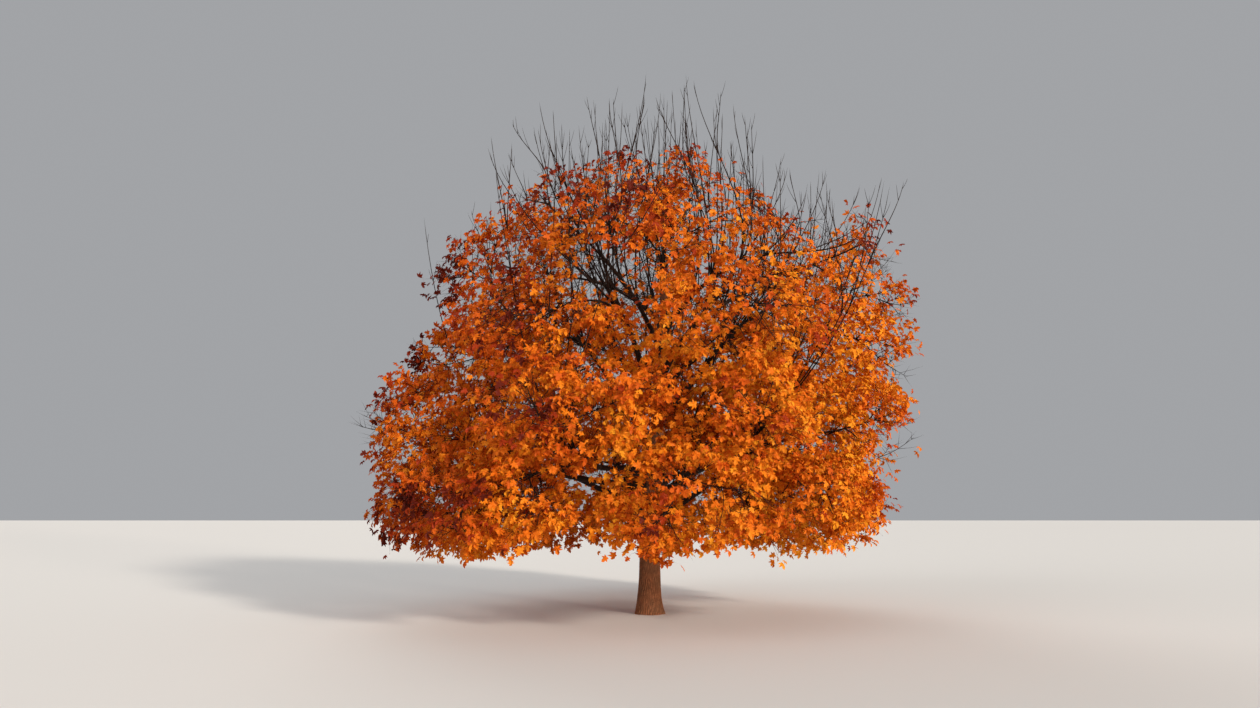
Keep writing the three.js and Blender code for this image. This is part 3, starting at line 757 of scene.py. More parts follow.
def leafiness(points):
    """The share of leaves that is there. It falls with height, near the trunk, between the clumps, and in
    each gap by a flat-topped bell curve round its middle."""
    share = mix(1.0, TOP_LEAFINESS, smooth(points[..., 2], *THINNING_HEIGHTS))
    share = share * mix(BETWEEN_CLUMPS, 1.0, clumps(points))
    reach = np.linalg.norm(points[..., :2], axis=-1) + HEIGHT_AS_REACH * points[..., 2]
    share = share * smooth(reach, *LEAFY_REACH)
    side, height = seen_at(points)
    for middle, level, half_width, half_height, missing in all_gaps:
        away = ((side - middle) / half_width) ** 2 + ((height - level) / half_height) ** 2
        share = share * (1 - missing * np.exp(-(away**2)))
    return share


# %% The dome that the leaves keep under
# Its heights and level distances from the trunk, and how much farther it reaches on the right
DOME = np.array([(4.9, 4.45), (5.4, 4.15), (5.8, 3.85), (6.1, 3.5), (6.45, 3.05), (6.85, 2.55), (7.2, 1.85),
                 (7.5, 1.15), (7.8, 0.4), (7.9, 0.0)])
DOME_RIGHT_SHARE = 0.02
DIP_SIDE, DIP_HALF, DIP_DEPTH = 1.85, 0.85, 0.75


def above_dome(points):
    """How far each point stands above the dome. The dome's height is read off its table at the level
    distance, which counts a little less on the right, and a bell-shaped dip on the right is taken off."""
    level = points[..., :2] - trunk_centre(TRUNK_HEIGHT)[:2]
    distance = np.linalg.norm(level, axis=-1) - DOME_RIGHT_SHARE * level[..., 0]
    dip = DIP_DEPTH * np.exp(-(((level[..., 0] - DIP_SIDE) / DIP_HALF) ** 2))
    return points[..., 2] - np.interp(distance, DOME[::-1, 1], DOME[::-1, 0]) + dip


def kept_under(points, margin):
    """How far points have to come down to stay under the dome by a margin."""
    return UP * np.maximum(above_dome(points) + margin, 0)[:, None]


# %% [markdown]
# ## Stems and main twigs
#
# Where a bough reaches its foliage it forks into one stem for each mass, and main twigs leave the stem
# towards the mass's leafy parts. Fixed angles would be simpler, but many twigs would miss the leaves. So
# each twig leaves where the way along the stem and then straight to its end costs least, which is close to
# how a branch feeds its leaves. The rule is the frame's own.

# %% Stems
FORK_SPREAD = 0.56
STEM_SINK = 0.06
STEM_OUT, STEM_SWING, STEM_UP = 0.74, 0.12, 0.15
STEM_REACHES = (0.33, 0.3)
STEM_RISE = 0.45
STEM_MARGIN = 0.15


def plan_stems():
    """Control points of every mass's stem, in the masses' order. Stems that share a tip stand side by side
    on it, and each one starts a little inside the bough."""
    controls = np.zeros((len(centres), 4, 3))
    tips = bough_controls[:, 3]
    radii = [thin for _, thin in bough_radii]
    carriers = [*zip(tips, unit(tips - bough_controls[:, 2]), radii, bough_masses)]
    top = (trunk_centre(TRUNK_HEIGHT), UP, TIP_RADIUS, first_of["top"] + np.arange(tier_counts["top"]))
    for tip, facing, radius, carried in [*carriers, top]:
        owners = np.array(carried)
        starts = np.repeat(tip[None], len(owners), axis=0)
        if len(owners) == 2:
            apart = unit(square_to(centres[owners[1]] - centres[owners[0]], facing))
            starts = starts + np.array([[-1], [1]]) * apart * FORK_SPREAD * radius
        ends = drawn_in(point_in(owners, STEM_OUT, STEM_SWING * sway(seeds[owners], 11), STEM_UP), owners)
        run = np.linalg.norm(ends - starts, axis=-1, keepdims=True)
        arriving = unit(outwards(azimuths[owners]) + UP * STEM_RISE)
        bends = starts + facing * run * STEM_REACHES[0], ends - arriving * run * STEM_REACHES[1]
        controls[owners] = np.stack([starts - facing * STEM_SINK, *bends, ends], axis=1)
    return controls


stem_controls = plan_stems()
stem_controls[:, 2:] -= kept_under(stem_controls[:, 3], STEM_MARGIN)[:, None]
stem_owners = np.arange(len(centres))
tell("stems", stem_controls)

# %% The cheapest way to a twig's end
DIRECTNESS = 0.6


def knots_on(controls, owners, ways, low, high, count):
    """Places where a twig may leave: points, directions, owners and the way along the wood up to each."""
    reached = ways[:, None] + np.linspace(low, high, count) * curve_lengths(controls)[:, None]
    return *places_along(controls, low, high, count), np.repeat(owners, count), reached.ravel()


def grow_to(ends, owners, knots, weight, rise):
    """Curves to the ends, each from the knot of its own mass where the straight distance plus weight times
    the way along the wood is least. They leave between the branch's direction and the straight one, and
    arrive rising. Also gives the way along the wood to each start."""
    points, slopes, knot_owners, ways = knots
    joint = np.zeros(len(ends), int)
    for mass in np.unique(owners):
        mine = np.flatnonzero(owners == mass)
        free = np.flatnonzero(knot_owners == mass)
        cost = np.linalg.norm(ends[mine, None] - points[None, free], axis=-1) + weight * ways[free]
        joint[mine] = free[np.argmin(cost, axis=1)]
    straight = unit(ends - points[joint])
    leaving = unit(mix(slopes[joint], straight, DIRECTNESS))
    return bend_between(points[joint], leaving, ends, unit(straight + UP * rise)), ways[joint]


# %% Main twigs
TWIG_SHELL = 0.74
TWIG_OUT = 0.15
TWIG_MARGIN = 0.1
STEM_KNOTS = (0.2, 0.86, 23)
BRANCH_COST = 0.55
TWIG_RISE = 0.35


def plan_twig_ends():
    """Ends spread evenly over each mass, a little outwards."""
    ends, owners = [], []
    for number, count in enumerate(main_twigs):
        mass = np.flatnonzero(tier_of == number)[:, None]
        out, side, rise = spiral(np.arange(count)[None], count, chance(seeds[mass], 21))
        shares = np.broadcast_arrays(TWIG_SHELL * (out + TWIG_OUT), TWIG_SHELL * side, TWIG_SHELL * rise)
        owners.append(np.repeat(mass.ravel(), count))
        ends.append(drawn_in(point_in(owners[-1], *[share.ravel() for share in shares]), owners[-1]))
    return np.concatenate(ends), np.concatenate(owners)


twig_ends, twig_owners = plan_twig_ends()
twig_ends = twig_ends - kept_under(twig_ends, TWIG_MARGIN)
stem_knots = knots_on(stem_controls, stem_owners, np.zeros(len(centres)), *STEM_KNOTS)
twig_controls, twig_ways = grow_to(twig_ends, twig_owners, stem_knots, BRANCH_COST, TWIG_RISE)
tell("main twigs", twig_controls)

# %% [markdown]
# ## Fine twigs
#
# A mass holds dozens of fine twigs, and most of them end near its outside, where there is light. Growing
# them bud by bud would be truer, but slow. So their ends are strewn through the outer part of the mass's
# ellipsoid, and the same rule of the cheapest way joins them to the wood that is there. An end in another
# mass's space, near the ground or above the dome is left out.

# %% Fine twigs
FINE_TWIGS = 92
FINE_SHELL = (0.42, 0.98)
SKIRT_DROOP = 1.4
FOLIAGE_FLOOR = 0.88
FLOOR_MARGIN = 0.05
TWIG_KNOTS = (0.25, 0.97, 16)
FINE_COST = 0.3
FINE_RISE = 0.2


def plan_fine_ends():
    """Ends spread evenly round each mass, at a depth whose square root makes the outer part fuller. The
    lowest tier hangs a little below its ellipsoids."""
    owners = np.repeat(np.arange(len(centres)), FINE_TWIGS)
    step = np.tile(np.arange(FINE_TWIGS), len(centres))
    out, side, rise = spiral(step, FINE_TWIGS, chance(seeds[owners], 71))
    depth = mix(*FINE_SHELL, np.sqrt(chance(seeds[owners], step, 72)))
    hangs = (tier_of[owners] == 0) & (rise < 0)
    ends = point_in(owners, depth * out, depth * side, depth * rise * np.where(hangs, SKIRT_DROOP, 1))
    is_kept = in_space(ends, owners) & (above_dome(ends) < 0)
    is_kept &= ends[:, 2] > FOLIAGE_FLOOR + FLOOR_MARGIN
    return ends[is_kept], owners[is_kept]


twig_knots = knots_on(twig_controls, twig_owners, twig_ways, *TWIG_KNOTS)
all_knots = [np.concatenate(pair) for pair in zip(stem_knots, twig_knots)]
fine_ends, fine_owners = plan_fine_ends()
fine_controls, _ = grow_to(fine_ends, fine_owners, all_knots, FINE_COST, FINE_RISE)
tell("fine twigs", fine_controls)

# %% Twigs inside the crown
INNER_TWIGS = 190
INNER_HEIGHTS = (2.2, 5.9)
INNER_REACHES = (0.45, 2.1)
INNER_RISE = 0.5
BOUGH_KNOTS = (0.2, 0.97, 24)


def plan_inner_ends():
    """Ends strewn round the trunk, where the boughs pass: they climb in even steps, turn by the golden angle
    and stand off by a reach whose square root is even. Each belongs to the nearest mass."""
    step = np.arange(INNER_TWIGS)
    height = mix(*INNER_HEIGHTS, (step + 0.5) / INNER_TWIGS)
    reach = mix(*INNER_REACHES, np.sqrt(chance(step, 73)))[:, None]
    ends = trunk_beside(height) * LEVEL + UP * height[:, None] + outwards(step * GOLDEN_ANGLE) * reach
    return ends, np.argmin(np.linalg.norm(ends[:, None] - centres, axis=-1), axis=1)


bough_points, bough_slopes = places_along(bough_controls, *BOUGH_KNOTS)
nowhere = np.zeros(len(bough_points), int)
inner_ends, inner_owners = plan_inner_ends()
bough_knots = (bough_points, bough_slopes, nowhere, nowhere)
inner_controls, _ = grow_to(inner_ends, 0 * inner_owners, bough_knots, 0, INNER_RISE)
fine_controls = np.concatenate([fine_controls, inner_controls])
fine_owners = np.concatenate([fine_owners, inner_owners])
tell("inner twigs", inner_controls)

# %% [markdown]
# ## Shoots
#
# A maple's buds sit in pairs, so its shoots leave a twig two by two, each pair turned against the last. They
# could be strewn at random, but pairs tell a maple even where its leaves are gone. Each fine twig and each
# main twig gets three pairs along its outer part.

# %% Shoots in opposite pairs
PAIR_SHARES = np.array([0.5, 0.7, 0.87])
PAIR_TURN = np.pi / 2
SPIN_SWAY = 0.5
PLATE_FLATNESS = 0.55
LEAST_SIDE = 1e-6
LENGTH_AT_FOOT, LENGTH_FALL = 1.25, 0.6
LENGTH_SPREAD = (0.6, 1.3)


def pair_directions(slopes, spin):
    """Two opposite directions square to each slope: across it and over it, by the cosine and the sine of
    spin. The part over it is cut down, because shoots spread in flat plates towards the light."""
    across = unit(np.cross(slopes, UP) + LEAST_SIDE)
    over = np.cross(across, slopes)
    side = unit(across * np.cos(spin)[..., None] + over * np.sin(spin)[..., None] * PLATE_FLATNESS)
    return np.stack([side, -side], axis=-2)


def plan_shoots(controls, shares, length, angle, rise, lift, key):
    """Control points of the shoots on every twig. They leave at an angle and a little upwards, by rise, and
    bend further up by lift. Their length falls towards the twig's tip."""
    twig = np.arange(len(controls))[:, None]
    pair = np.arange(len(shares))[None]
    one = np.arange(2)[None, None]
    starts = curve_points(controls, shares)[..., None, :]
    slopes = curve_slopes(controls, shares)
    spin = np.pi * chance(twig, key) + PAIR_TURN * pair + SPIN_SWAY * sway(twig, pair, key + 1)
    sides = pair_directions(slopes, spin)
    leaving = unit(slopes[..., None, :] * np.cos(angle) + sides * np.sin(angle) + UP * rise)
    spread = mix(*LENGTH_SPREAD, chance(twig[..., None], pair[..., None], one, key + 2))
    size = length * (LENGTH_AT_FOOT - LENGTH_FALL * shares[None, :, None]) * spread
    arriving = unit(leaving + UP * lift)
    ends = starts + size[..., None] * unit(leaving + arriving)
    curves = bend_between(np.broadcast_to(starts, ends.shape), leaving, ends, arriving)
    return curves.reshape(-1, 4, 3)


# %% Shoots of the leafy twigs
# Their length, their angle to the twig, how much they rise and how much they bend further up
SHOOT_LOOK = (0.34, np.radians(46), 0.18, 0.18)
SHOOT_OVERLAP = 0.15

leafy_controls = np.concatenate([twig_controls, fine_controls])
leafy_owners = np.concatenate([twig_owners, fine_owners])
shoot_controls = plan_shoots(leafy_controls, PAIR_SHARES, *SHOOT_LOOK, 81)
shoot_twigs = np.repeat(np.arange(len(leafy_controls)), len(PAIR_SHARES) * 2)
shoot_tips = shoot_controls[:, 3]
is_kept = in_space(shoot_tips, leafy_owners[shoot_twigs], -SHOOT_OVERLAP)
is_kept &= shoot_tips[:, 2] > FOLIAGE_FLOOR
shoot_controls, shoot_twigs = shoot_controls[is_kept], shoot_twigs[is_kept]
tell("shoots", shoot_controls)

# %% [markdown]
# ## Rising limbs and bare wands
#
# The upper crown is a fan of long limbs that rise side by side from the trunk's top and from the boughs.
# Leaves are few up there, so the limbs show against the sky, and their ends stand out above the leaves as
# bare wands that fork in narrow pairs. They could be drawn one by one after the photograph, but a rule fills
# the back of the crown too. Each limb starts where the wood is about as far down as such a limb is long.

# %% Ends above the leaves
BOX_ROOM = 0.12
WAND_PROUD = 0.08
NEAR_MIDDLE, FAR_OUT = 0.5, 4.0
FAR_SHORTENING = 0.4
OUTWARD_LEAN = 0.35


def inside_box(points, room):
    """Whether points lie inside the frame's box, at least room away from its sides and top."""
    high, low = np.array(frame_high) - room, np.array(frame_low) + room
    return np.all(points < high, axis=-1) & np.all(points[..., :2] > low[:2], axis=-1)


def plan_ends_above(counts, lifts, key):
    """Ends above the masses of some tiers: they turn by the golden angle on a widening ring, and stand above
    the dome of leaves by a lift that varies by chance and is greatest over the trunk. They lean outwards by
    a share of the lift."""
    ends = []
    for name, count in counts.items():
        mass = (first_of[name] + np.arange(tier_counts[name]))[:, None]
        step = np.arange(count)[None]
        turn = step * GOLDEN_ANGLE + 2 * np.pi * chance(seeds[mass], key)
        spread = np.sqrt((step + 0.5) / count)
        flat = point_in(mass, spread * np.cos(turn), spread * np.sin(turn), 0)
        distance = np.linalg.norm(flat[..., :2], axis=-1)
        near = 1 - FAR_SHORTENING * smooth(distance, NEAR_MIDDLE, FAR_OUT)
        lift = mix(*lifts, chance(seeds[mass], key + 1, step)) * near
        lean = OUTWARD_LEAN * smooth(distance, 0, FAR_OUT) * lift
        rise = UP * (lift - above_dome(flat))[..., None]
        ends.append((flat + rise + unit(flat * LEVEL) * lean[..., None]).reshape(-1, 3))
    ends = np.concatenate(ends)
    return ends[inside_box(ends, -WAND_PROUD)]


# %% Curves that rise
# For each kind: how many stand above each mass of a tier, how far they stand above the dome and above their
# start, what level distance costs, how upright they end, and two labels for chance
RISING = {
    "rising limbs": ({"upper": 5, "shoulder": 10, "top": 20}, (0.1, 1.28), (2.2, 3.8), 1.0, 1.8, (35, 37)),
    "wands": ({"upper": 4, "shoulder": 9, "top": 17}, (0.15, 1.3), (0.8, 1.7), 1.3, 0.7, (31, 38)),
}
INWARD_COST = 2.5
RISING_REACH = 0.33


def rise_from(kind, starts, slopes):
    """Curves of a kind, from wood up to ends above the leaves. Each starts where its level distance, times
    what that costs, plus what its depth below the end differs from the one wanted, is least. A start farther
    from the trunk than its end costs more, so that the curves lean outwards. They leave between the wood's
    direction and the straight one, and arrive turned from the straight one towards the upright."""
    counts, lifts, rises, level_cost, uprightness, (end_label, rise_label) = RISING[kind]
    ends = plan_ends_above(counts, lifts, end_label)
    rise = mix(*rises, chance(np.arange(len(ends)), rise_label))[:, None]
    apart = ends[:, None] - starts[None]
    cost = level_cost * np.linalg.norm(apart[..., :2], axis=-1) + np.abs(apart[..., 2] - rise)
    inward = np.linalg.norm(starts[None, :, :2], axis=-1) - np.linalg.norm(ends[:, None, :2], axis=-1)
    joint = np.argmin(cost + INWARD_COST * np.maximum(inward, 0), axis=1)
    straight = unit(ends - starts[joint])
    arriving = unit(straight + UP * uprightness)
    controls = bend_between(starts[joint], unit(slopes[joint] + straight), ends, arriving, RISING_REACH)
    tell(kind, controls)
    return controls


# %% Rising limbs
TRUNK_KNOTS = (3.2, 5.6, 20)

trunk_places = trunk_centre(np.linspace(*TRUNK_KNOTS))
limb_starts = np.concatenate([bough_points, trunk_places])
limb_slopes = np.concatenate([bough_slopes, np.tile(UP, (len(trunk_places), 1))])
limb_controls = rise_from("rising limbs", limb_starts, limb_slopes)

# %% Wands
WAND_FLOOR = 5.0
LIMB_KNOTS = (0.3, 0.86, 18)

limb_points, limb_directions = places_along(limb_controls, *LIMB_KNOTS)
is_high = all_knots[0][:, 2] > WAND_FLOOR
wand_starts = np.concatenate([limb_points, all_knots[0][is_high]])
wand_slopes = np.concatenate([limb_directions, all_knots[1][is_high]])
wand_controls = rise_from("wands", wand_starts, wand_slopes)

# %% Side twigs of the limbs and wands
FORK_SHARES = np.array([0.42, 0.6, 0.76, 0.9])
# As for the shoots: length, angle, rise and bend
FORK_LOOK = (0.36, np.radians(26), 0.15, 1.4)
FORKS_KEPT = 0.42

bare_controls = np.concatenate([wand_controls, limb_controls])
fork_controls = plan_shoots(bare_controls, FORK_SHARES, *FORK_LOOK, 91)
is_kept = inside_box(fork_controls[:, 3], -WAND_PROUD)
is_kept &= chance(np.arange(len(fork_controls)), 95) < FORKS_KEPT
fork_controls = fork_controls[is_kept]
tell("side twigs", fork_controls)

# %% [markdown]
# ## Wood as a mesh
#
# Each kind of twig is one sweep of rings along its curves, thick at the foot and ending in a point. Fine
# shoots need only three sides, because each is thinner than a pencil. Every twig could be an object of its
# own, but thousands are slow to handle. So they are joined by the part of the crown that they belong to,
# and each joined piece stands for its own masses.

# %% Twig pieces
CROWN_PARTS = {"low": ("skirt",), "mid": ("lower", "middle"), "high": ("upper", "shoulder", "top")}
# The radius at the foot and near the tip, and how many rings and sides
WOOD = {
    "stem": (0.018, 0.007, 14, 7),
    "main twig": (0.0105, 0.004, 10, 5),
    "fine twig": (0.0055, 0.0022, 7, 4),
    "shoot": (0.0026, 0.0013, 2, 3),
    "limb": (0.014, 0.0032, 16, 6),
    "wand": (0.0085, 0.003, 12, 4),
    "side twig": (0.0042, 0.0022, 4, 3),
}
WOOD_COLLAR = 0.5
WOOD_COLLAR_FADE = 12


def wood(kind, controls):
    """Points and triangles of one kind of twig. The radius changes evenly, with a collar that dies away from
    the foot. The rings stop one step short of the curve's end, which is left for the tip."""
    foot, tip, ring_count, side_count = WOOD[kind]
    share = np.arange(ring_count) / ring_count
    radii = mix(foot, tip, share) * (1 + WOOD_COLLAR * np.exp(-share * WOOD_COLLAR_FADE))
    return skin(tube_rings(controls, share, radii[:, None], side_count), controls[:, 3])


def make_wood(name, nodes, kinds):
    """One piece of smooth wood from some kinds of twigs."""
    points, triangles = joined([wood(*kind) for kind in kinds])
    make_piece(name, points, triangles, twig_bark, nodes, "bough_bark", np.zeros(len(points)))


part_of_tier = [number for tier in TIERS for number, part in enumerate(CROWN_PARTS.values()) if tier in part]
part_of_mass = np.array(part_of_tier)[tier_of]
nodes_of_part = [[] for _ in CROWN_PARTS]
for name, part in zip(mass_names, part_of_mass):
    nodes_of_part[part].append(name)
leafy_kinds = [
    ("stem", stem_controls, stem_owners),
    ("main twig", twig_controls, twig_owners),
    ("fine twig", fine_controls, fine_owners),
    ("shoot", shoot_controls, leafy_owners[shoot_twigs]),
]
for number, part in enumerate(CROWN_PARTS):
    kinds = [(kind, controls[part_of_mass[owners] == number]) for kind, controls, owners in leafy_kinds]
    make_wood(f"{part}_crown_twigs", nodes_of_part[number], kinds)

bare_kinds = [("limb", limb_controls), ("wand", wand_controls), ("side twig", fork_controls)]
make_wood("rising_limbs_and_wands", nodes_of_part[-1], bare_kinds)

# %% [markdown]
# ## Leaves
#
# A maple leaf has five pointed lobes and hangs on a long stalk. Leaves sit in pairs on the shoots, with one
# at the tip. A flat shape would do for each, but all its parts would catch the light alike. So each leaf is
# a fan of triangles round the place where its veins meet, folded along the veins. There are tens of
# thousands, so the fan has only fourteen triangles.

# %% One leaf's outline
# Side and forward places of the right half's corners, as shares of the leaf's length, from the stalk to the
# tip. The last column is how far each stands above the leaf's plane: lobes droop, and notches rise.
LEAF_HALF = np.array([(0.17, -0.08, 0.03), (0.44, -0.04, -0.07), (0.3, 0.19, 0.05), (0.63, 0.42, -0.12),
                      (0.22, 0.5, 0.07), (0.27, 0.75, -0.02)])
LEAF_MIDDLE, LEAF_FOOT, LEAF_TIP = (0.0, 0.24, 0.0), (0, 0, 0), (0, 1, -0.16)


def leaf_pattern():
    """The leaf's corners as side, forward and lift, beginning where its veins meet, and its triangles."""
    left = LEAF_HALF[::-1] * [-1, 1, 1]
    corners = np.concatenate([[LEAF_MIDDLE], [LEAF_FOOT], LEAF_HALF, [LEAF_TIP], left])
    rim = np.arange(1, len(corners))
    return corners, np.stack([0 * rim, rim, np.roll(rim, -1)], axis=1)


pattern, pattern_triangles = leaf_pattern()
print("a leaf has", len(pattern_triangles), "triangles")

# %% Where leaves sit
NODE_SHARES = np.array([0.35, 0.6, 0.85])
TWIG_END_SHARES = np.array([0.82, 0.88, 0.94, 1.0])
STALK_FORWARD = 0.55


def leaf_sites(controls, twigs):
    """Sites on every shoot: a pair at each node and one at the tip. Gives points, the stalks' directions and
    the twig that each belongs to."""
    slopes = curve_slopes(controls, NODE_SHARES)
    shoot = np.arange(len(controls))[:, None]
    spin = np.pi * chance(shoot, 101) + PAIR_TURN * np.arange(len(NODE_SHARES))
    paired = unit(slopes[..., None, :] * STALK_FORWARD + pair_directions(slopes, spin))
    points = np.broadcast_to(curve_points(controls, NODE_SHARES)[..., None, :], paired.shape)
    places = np.concatenate([points.reshape(-1, 3), controls[:, 3]])
    stalks = np.concatenate([paired.reshape(-1, 3), unit(controls[:, 3] - controls[:, 2])])
    return places, stalks, np.concatenate([np.repeat(twigs, len(NODE_SHARES) * 2), twigs])


site_controls = np.concatenate([shoot_controls, curve_points(leafy_controls, TWIG_END_SHARES)])
site_twigs = np.concatenate([shoot_twigs, np.arange(len(leafy_controls))])
sites, stalks, spray = leaf_sites(site_controls, site_twigs)
leaf_number = np.arange(len(sites))
print(len(sites), "sites for leaves")

# %% Which sites still have their leaf
FULLNESS = 1.02
SPRAY_SPREAD = (0.35, 1.4)
DOME_RAGGEDNESS = 0.35

share = FULLNESS * leafiness(sites) * mix(*SPRAY_SPREAD, chance(spray, 111))
has_leaf = chance(leaf_number, 112) < share
has_leaf &= inside_box(sites, BOX_ROOM) & (sites[:, 2] > FOLIAGE_FLOOR)
has_leaf &= above_dome(sites) < DOME_RAGGEDNESS * sway(spray, 113)
sites, stalks, spray, leaf_number = (column[has_leaf] for column in (sites, stalks, spray, leaf_number))
print(len(sites), "leaves")

# %% How leaves hang
LEAF_LENGTH, LENGTHS = 0.096, (0.72, 1.16)
STALK_LENGTH, STALK_LENGTHS = 0.055, (0.5, 1.3)
STALK_DROOP, STALK_SWAY = 0.25, 0.25
LEAF_ALONG, LEAF_OUTWARD, LEAF_SWAY = 0.8, 0.3, 0.6
LEAF_DROOP = (-0.1, 0.8)
FACE_OUTWARD, FACE_UP, LEAF_TILT = 0.8, 0.62, 0.75


def hang_leaves():
    """For each leaf its foot, its length, and the directions it points to, faces and spreads along. The
    blade points on from the stalk but droops, and it faces outwards and up, towards the light."""
    jitter = np.stack([sway(leaf_number, key) for key in (121, 122, 123)], axis=-1)
    outward = unit((sites - trunk_beside(sites[:, 2])) * LEVEL)
    stalk = unit(stalks - UP * STALK_DROOP + jitter * STALK_SWAY)
    droop = mix(*LEAF_DROOP, chance(leaf_number, 124))[:, None]
    pointing = stalk * LEAF_ALONG + outward * LEAF_OUTWARD - UP * droop + jitter[:, [1, 2, 0]] * LEAF_SWAY
    pointing = unit(pointing)
    facing = outward * FACE_OUTWARD + UP * FACE_UP + jitter[:, [2, 0, 1]] * LEAF_TILT
    facing = unit(square_to(facing, pointing))
    length = LEAF_LENGTH * mix(*LENGTHS, chance(leaf_number, 125))
    stalk_length = STALK_LENGTH * mix(*STALK_LENGTHS, chance(leaf_number, 126))
    return sites + stalk * stalk_length[:, None], length, pointing, facing, np.cross(pointing, facing)


feet, length, pointing, facing, across = hang_leaves()
print("leaves are", np.round(length.min(), 3), "to", np.round(length.max(), 3), "m long")

# %% All leaves as points
STALK_WIDTH = 0.0022
CURLS = (0.4, 2.6)


def leaf_meshes():
    """Corners of every leaf: its foot plus each pattern corner, carried along the three directions and
    scaled by its length. Some leaves curl more than others. The stalk is one long thin triangle."""
    curl = mix(*CURLS, chance(leaf_number, 127))[:, None, None]
    side, forward, lift = (pattern[None, :, column, None] for column in range(3))
    blade = side * across[:, None] + forward * pointing[:, None] + lift * curl * facing[:, None]
    blade = feet[:, None] + length[:, None, None] * blade
    width = across[:, None] * STALK_WIDTH / 2 * np.array([[-1], [1], [0]])
    strip = np.stack([sites, sites, feet], axis=1) + width
    return np.concatenate([blade, strip], axis=1)


leaf_points = leaf_meshes()
one_leaf = np.concatenate([pattern_triangles, len(pattern) + np.array([[0, 1, 2]])])
print("all leaves have", len(leaf_points) * len(one_leaf), "triangles")

# %% [markdown]
# ## Autumn tints
#
# A spray of leaves turns together, so a tint belongs to a whole spray, with a few leaves a step ahead or
# behind. Leaves high up have turned further, and the tints darken to the left as painted shade of the side
# turned from the light, so the low right is amber and the upper left russet. Each tint is a plain colour of
# its own, because a pattern over so many small leaves would blur. Leaves also let some light through, which
# makes them glow from behind.

# %% Leaf materials
TINTS = {
    "gold": (232, 152, 38),
    "amber": (226, 131, 31),
    "orange": (214, 109, 25),
    "flame": (195, 87, 22),
    "russet": (148, 51, 18),
    "chestnut": (96, 32, 18),
}
TISSUE_SIZE = 0.012
TISSUE = {"Scale": 1 / TISSUE_SIZE, "Detail": 3.0}
LEAF_SATIN = {"From Min": 0.3, "From Max": 0.7, "To Min": 0.48, "To Max": 0.72}
LEAF_BUMP = 0.7
LEAF_SHINE = 0.15
LIGHT_THROUGH = 0.18


def leaf_material(name, colour):
    """A matt leaf of one colour that lets some light through. A fine noise makes its skin uneven: it raises
    the tissue between the veins as bump, and leaves some spots more satin than others."""
    material, tree, shader = new_material(name)
    place = add_node(tree, "ShaderNodeTexCoord").outputs["Object"]
    roughen(tree, shader, noise(tree, place, TISSUE), LEAF_SATIN, LEAF_BUMP, TISSUE_SIZE / 8)
    shader.inputs["Base Color"].default_value = colour
    shader.inputs["Specular IOR Level"].default_value = LEAF_SHINE
    through = add_node(tree, "ShaderNodeBsdfTranslucent", {"Color": colour})
    mixed = {0: LIGHT_THROUGH, 1: shader.outputs[0], 2: through.outputs[0]}
    both = add_node(tree, "ShaderNodeMixShader", mixed)
    tree.links.new(both.outputs[0], tree.nodes["Material Output"].inputs["Surface"])
    return material


tint_materials = [leaf_material(f"leaf_{tint}", linear(*TINTS[tint])) for tint in TINTS]
print("leaf tints:", list(TINTS))

# %% Which tint each leaf has
RIGHT_TO_LEFT = (-4.0, 4.5)
RIPENING_HEIGHTS = (1.0, 7.5)
RIPE_START, RIPE_WITH_HEIGHT, PAINTED_SHADE_TO_THE_LEFT = 0.2, 0.17, 0.24
TOP_RIPENESS, TOP_EDGE = 0.36, (-0.45, 0.1)
TIP_RIPENESS_AND_LEFT_SHADE, TIP_EDGE = (0.2, 0.45), (-0.75, -0.05)
EDGE_SPREAD = (0.1, 1.7)
TINT_PATCHES, PATCH_CHANGE = (1.0, 2.2), 0.06
SPRAY_CHANGE, LEAF_CHANGE = 0.1, 0.17


def leftness(points):
    """From 0 at the crown's right side to 1 at its left."""
    return smooth(-points[:, 0], *RIGHT_TO_LEFT)


def ripeness_and_left_shade(points):
    """How far leaves have turned, 0 gold to 1 chestnut: more with height, plus painted shade to the left."""
    height = smooth(points[:, 2], *RIPENING_HEIGHTS)
    # Painted shade: the leftness term darkens the side turned from the light.
    return RIPE_START + RIPE_WITH_HEIGHT * height + PAINTED_SHADE_TO_THE_LEFT * leftness(points)


def edge_ripeness_and_left_shade(points):
    """More for leaves at the top of the dome and at the crown's outer tips, which turn first. At the tips
    painted shade adds more on the left."""
    level = points - trunk_beside(points[:, 2])
    beyond = np.linalg.norm(level[:, :2], axis=1)
    beyond = beyond - crown_reach(points[:, 2], np.arctan2(level[:, 1], level[:, 0]))
    top = TOP_RIPENESS * smooth(above_dome(points), *TOP_EDGE)
    # At the tips, leftness adds painted shade.
    return top + mix(*TIP_RIPENESS_AND_LEFT_SHADE, leftness(points)) * smooth(beyond, *TIP_EDGE)


turned = ripeness_and_left_shade(sites) + edge_ripeness_and_left_shade(sites) * mix(*EDGE_SPREAD, chance(spray, 133))
turned = turned + PATCH_CHANGE * space_waves(sites, TINT_PATCHES, 44)
turned = turned + SPRAY_CHANGE * sway(spray, 131) + LEAF_CHANGE * sway(leaf_number, 132)
tint_of_leaf = np.clip((turned * len(TINTS)).astype(int), 0, len(TINTS) - 1)
part_of_leaf = part_of_mass[leafy_owners[spray]]
print("leaves of each tint:", np.bincount(tint_of_leaf))

# %% Leaf pieces
LEAF_SLOTS = {"low": "amber_leaves", "mid": "orange_leaves", "high": "russet_leaves"}

for number, part in enumerate(CROWN_PARTS):
    for tint, tint_name in enumerate(TINTS):
        points = leaf_points[(part_of_leaf == number) & (tint_of_leaf == tint)]
        starts = np.arange(len(points))[:, None, None] * points.shape[1]
        make_piece(f"{part}_crown_{tint_name}_leaves", points.reshape(-1, 3),
                   (one_leaf[None] + starts).reshape(-1, 3), tint_materials[tint], nodes_of_part[number],
                   LEAF_SLOTS[part])

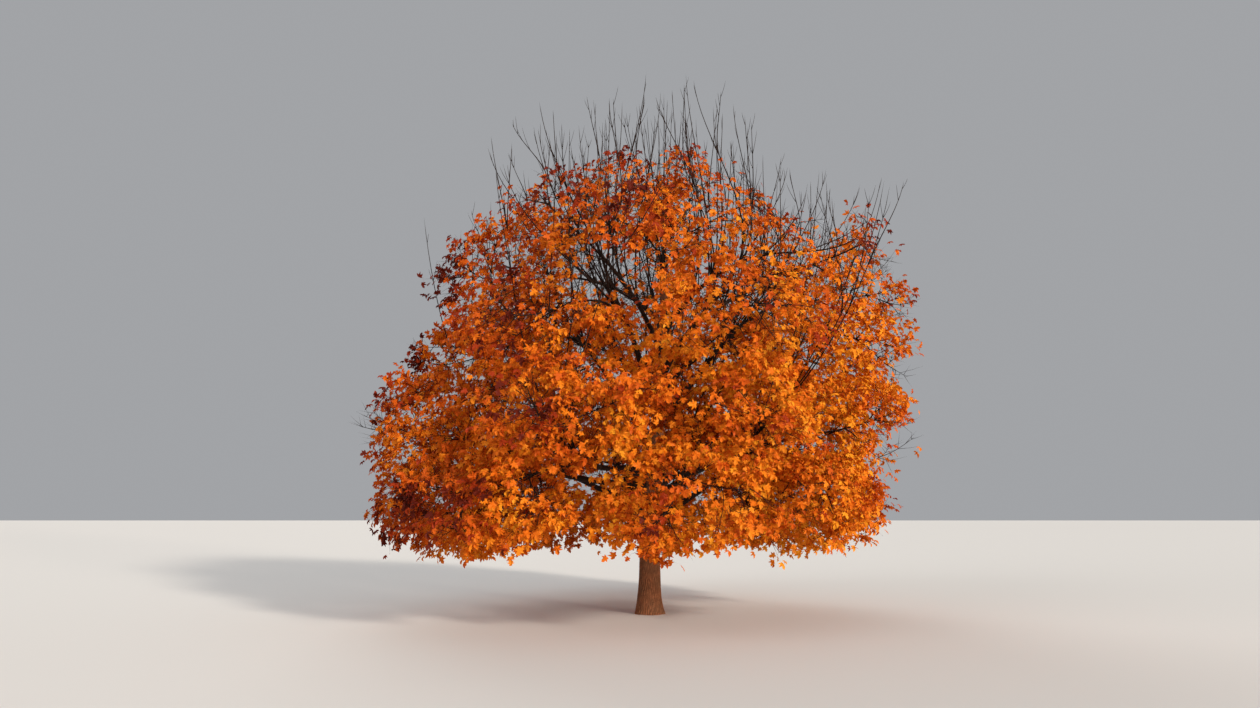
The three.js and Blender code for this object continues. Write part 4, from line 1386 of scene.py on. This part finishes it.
# %% [markdown]
# ## A plain studio
#
# A bright outdoor scene could light the tree, but it would lend it colours. So it stands on a pale floor in
# soft light from far lamps, and its own shape and colours show. The camera stands where the photographer
# did: 14 metres off at eye height, with a wide lens tipped up to the crown.

# %% Floor
FLOOR_HALF = 150.0
FLOOR_COLOUR = (0.78, 0.77, 0.75, 1.0)
FLOOR_ROUGHNESS = 0.9


def make_floor():
    """One square of pale matt floor at ground level."""
    material, _, shader = new_material("pale_floor")
    shader.inputs["Base Color"].default_value = FLOOR_COLOUR
    shader.inputs["Roughness"].default_value = FLOOR_ROUGHNESS
    corners = FLOOR_HALF * np.array([(-1, -1, 0), (1, -1, 0), (1, 1, 0), (-1, 1, 0)])
    mesh = bpy.data.meshes.new("floor")
    mesh.from_pydata(corners.tolist(), [], [(0, 1, 2, 3)])
    mesh.materials.append(material)
    floor = placed("floor", mesh)


make_floor()

# %% Lights
# Where each lamp's light comes from, its strength, how many degrees wide it is, and its colour
LAMPS = {
    "key": ((14.0, -16.0, 7.5), 3.12, 7, (1.0, 0.9, 0.78)),
    "low": ((14.0, -15.0, 1.5), 1.1, 6, (1.0, 0.86, 0.68)),
    "fill": ((-16.0, -12.0, 8.0), 0.7, 40, (1.0, 0.97, 0.94)),
    "back": ((-6.0, 16.0, 9.0), 0.9, 40, (1.0, 0.95, 0.9)),
}
WORLD_LIGHT = {"Color": (0.9, 0.92, 0.96, 1.0), "Strength": 0.4}


def far_light(name, place, strength, spread, colour):
    """A far lamp, so wide that its shadows are soft. Its even light comes from the direction of a place."""
    lamp = bpy.data.lights.new(name, "SUN")
    lamp.energy = strength
    lamp.angle = float(np.radians(spread))
    lamp.color = colour
    holder = placed(name, lamp)
    holder.location = place
    holder.rotation_euler = Vector(place).to_track_quat("Z", "Y").to_euler()


for name, look in LAMPS.items():
    far_light(name, *look)
world = bpy.data.worlds.new("studio")
bpy.context.scene.world = world
world.use_nodes = True
for name, value in WORLD_LIGHT.items():
    world.node_tree.nodes["Background"].inputs[name].default_value = value
bpy.context.scene.view_settings.view_transform = "Standard"
print("lamps:", list(LAMPS))

# %% Camera
LENS = 24.0
SENSOR = 36.0
FARTHEST_SEEN = 500.0
PITCH = np.radians(10.65)

camera = bpy.data.cameras.new("camera")
camera.lens = LENS
camera.sensor_width = SENSOR
camera.clip_end = FARTHEST_SEEN
camera_holder = placed("camera", camera)
camera_holder.location = (VIEW_SIDE, -VIEW_DISTANCE, EYE_HEIGHT)
camera_holder.rotation_euler = (np.pi / 2 + PITCH, 0, 0)
bpy.context.scene.camera = camera_holder
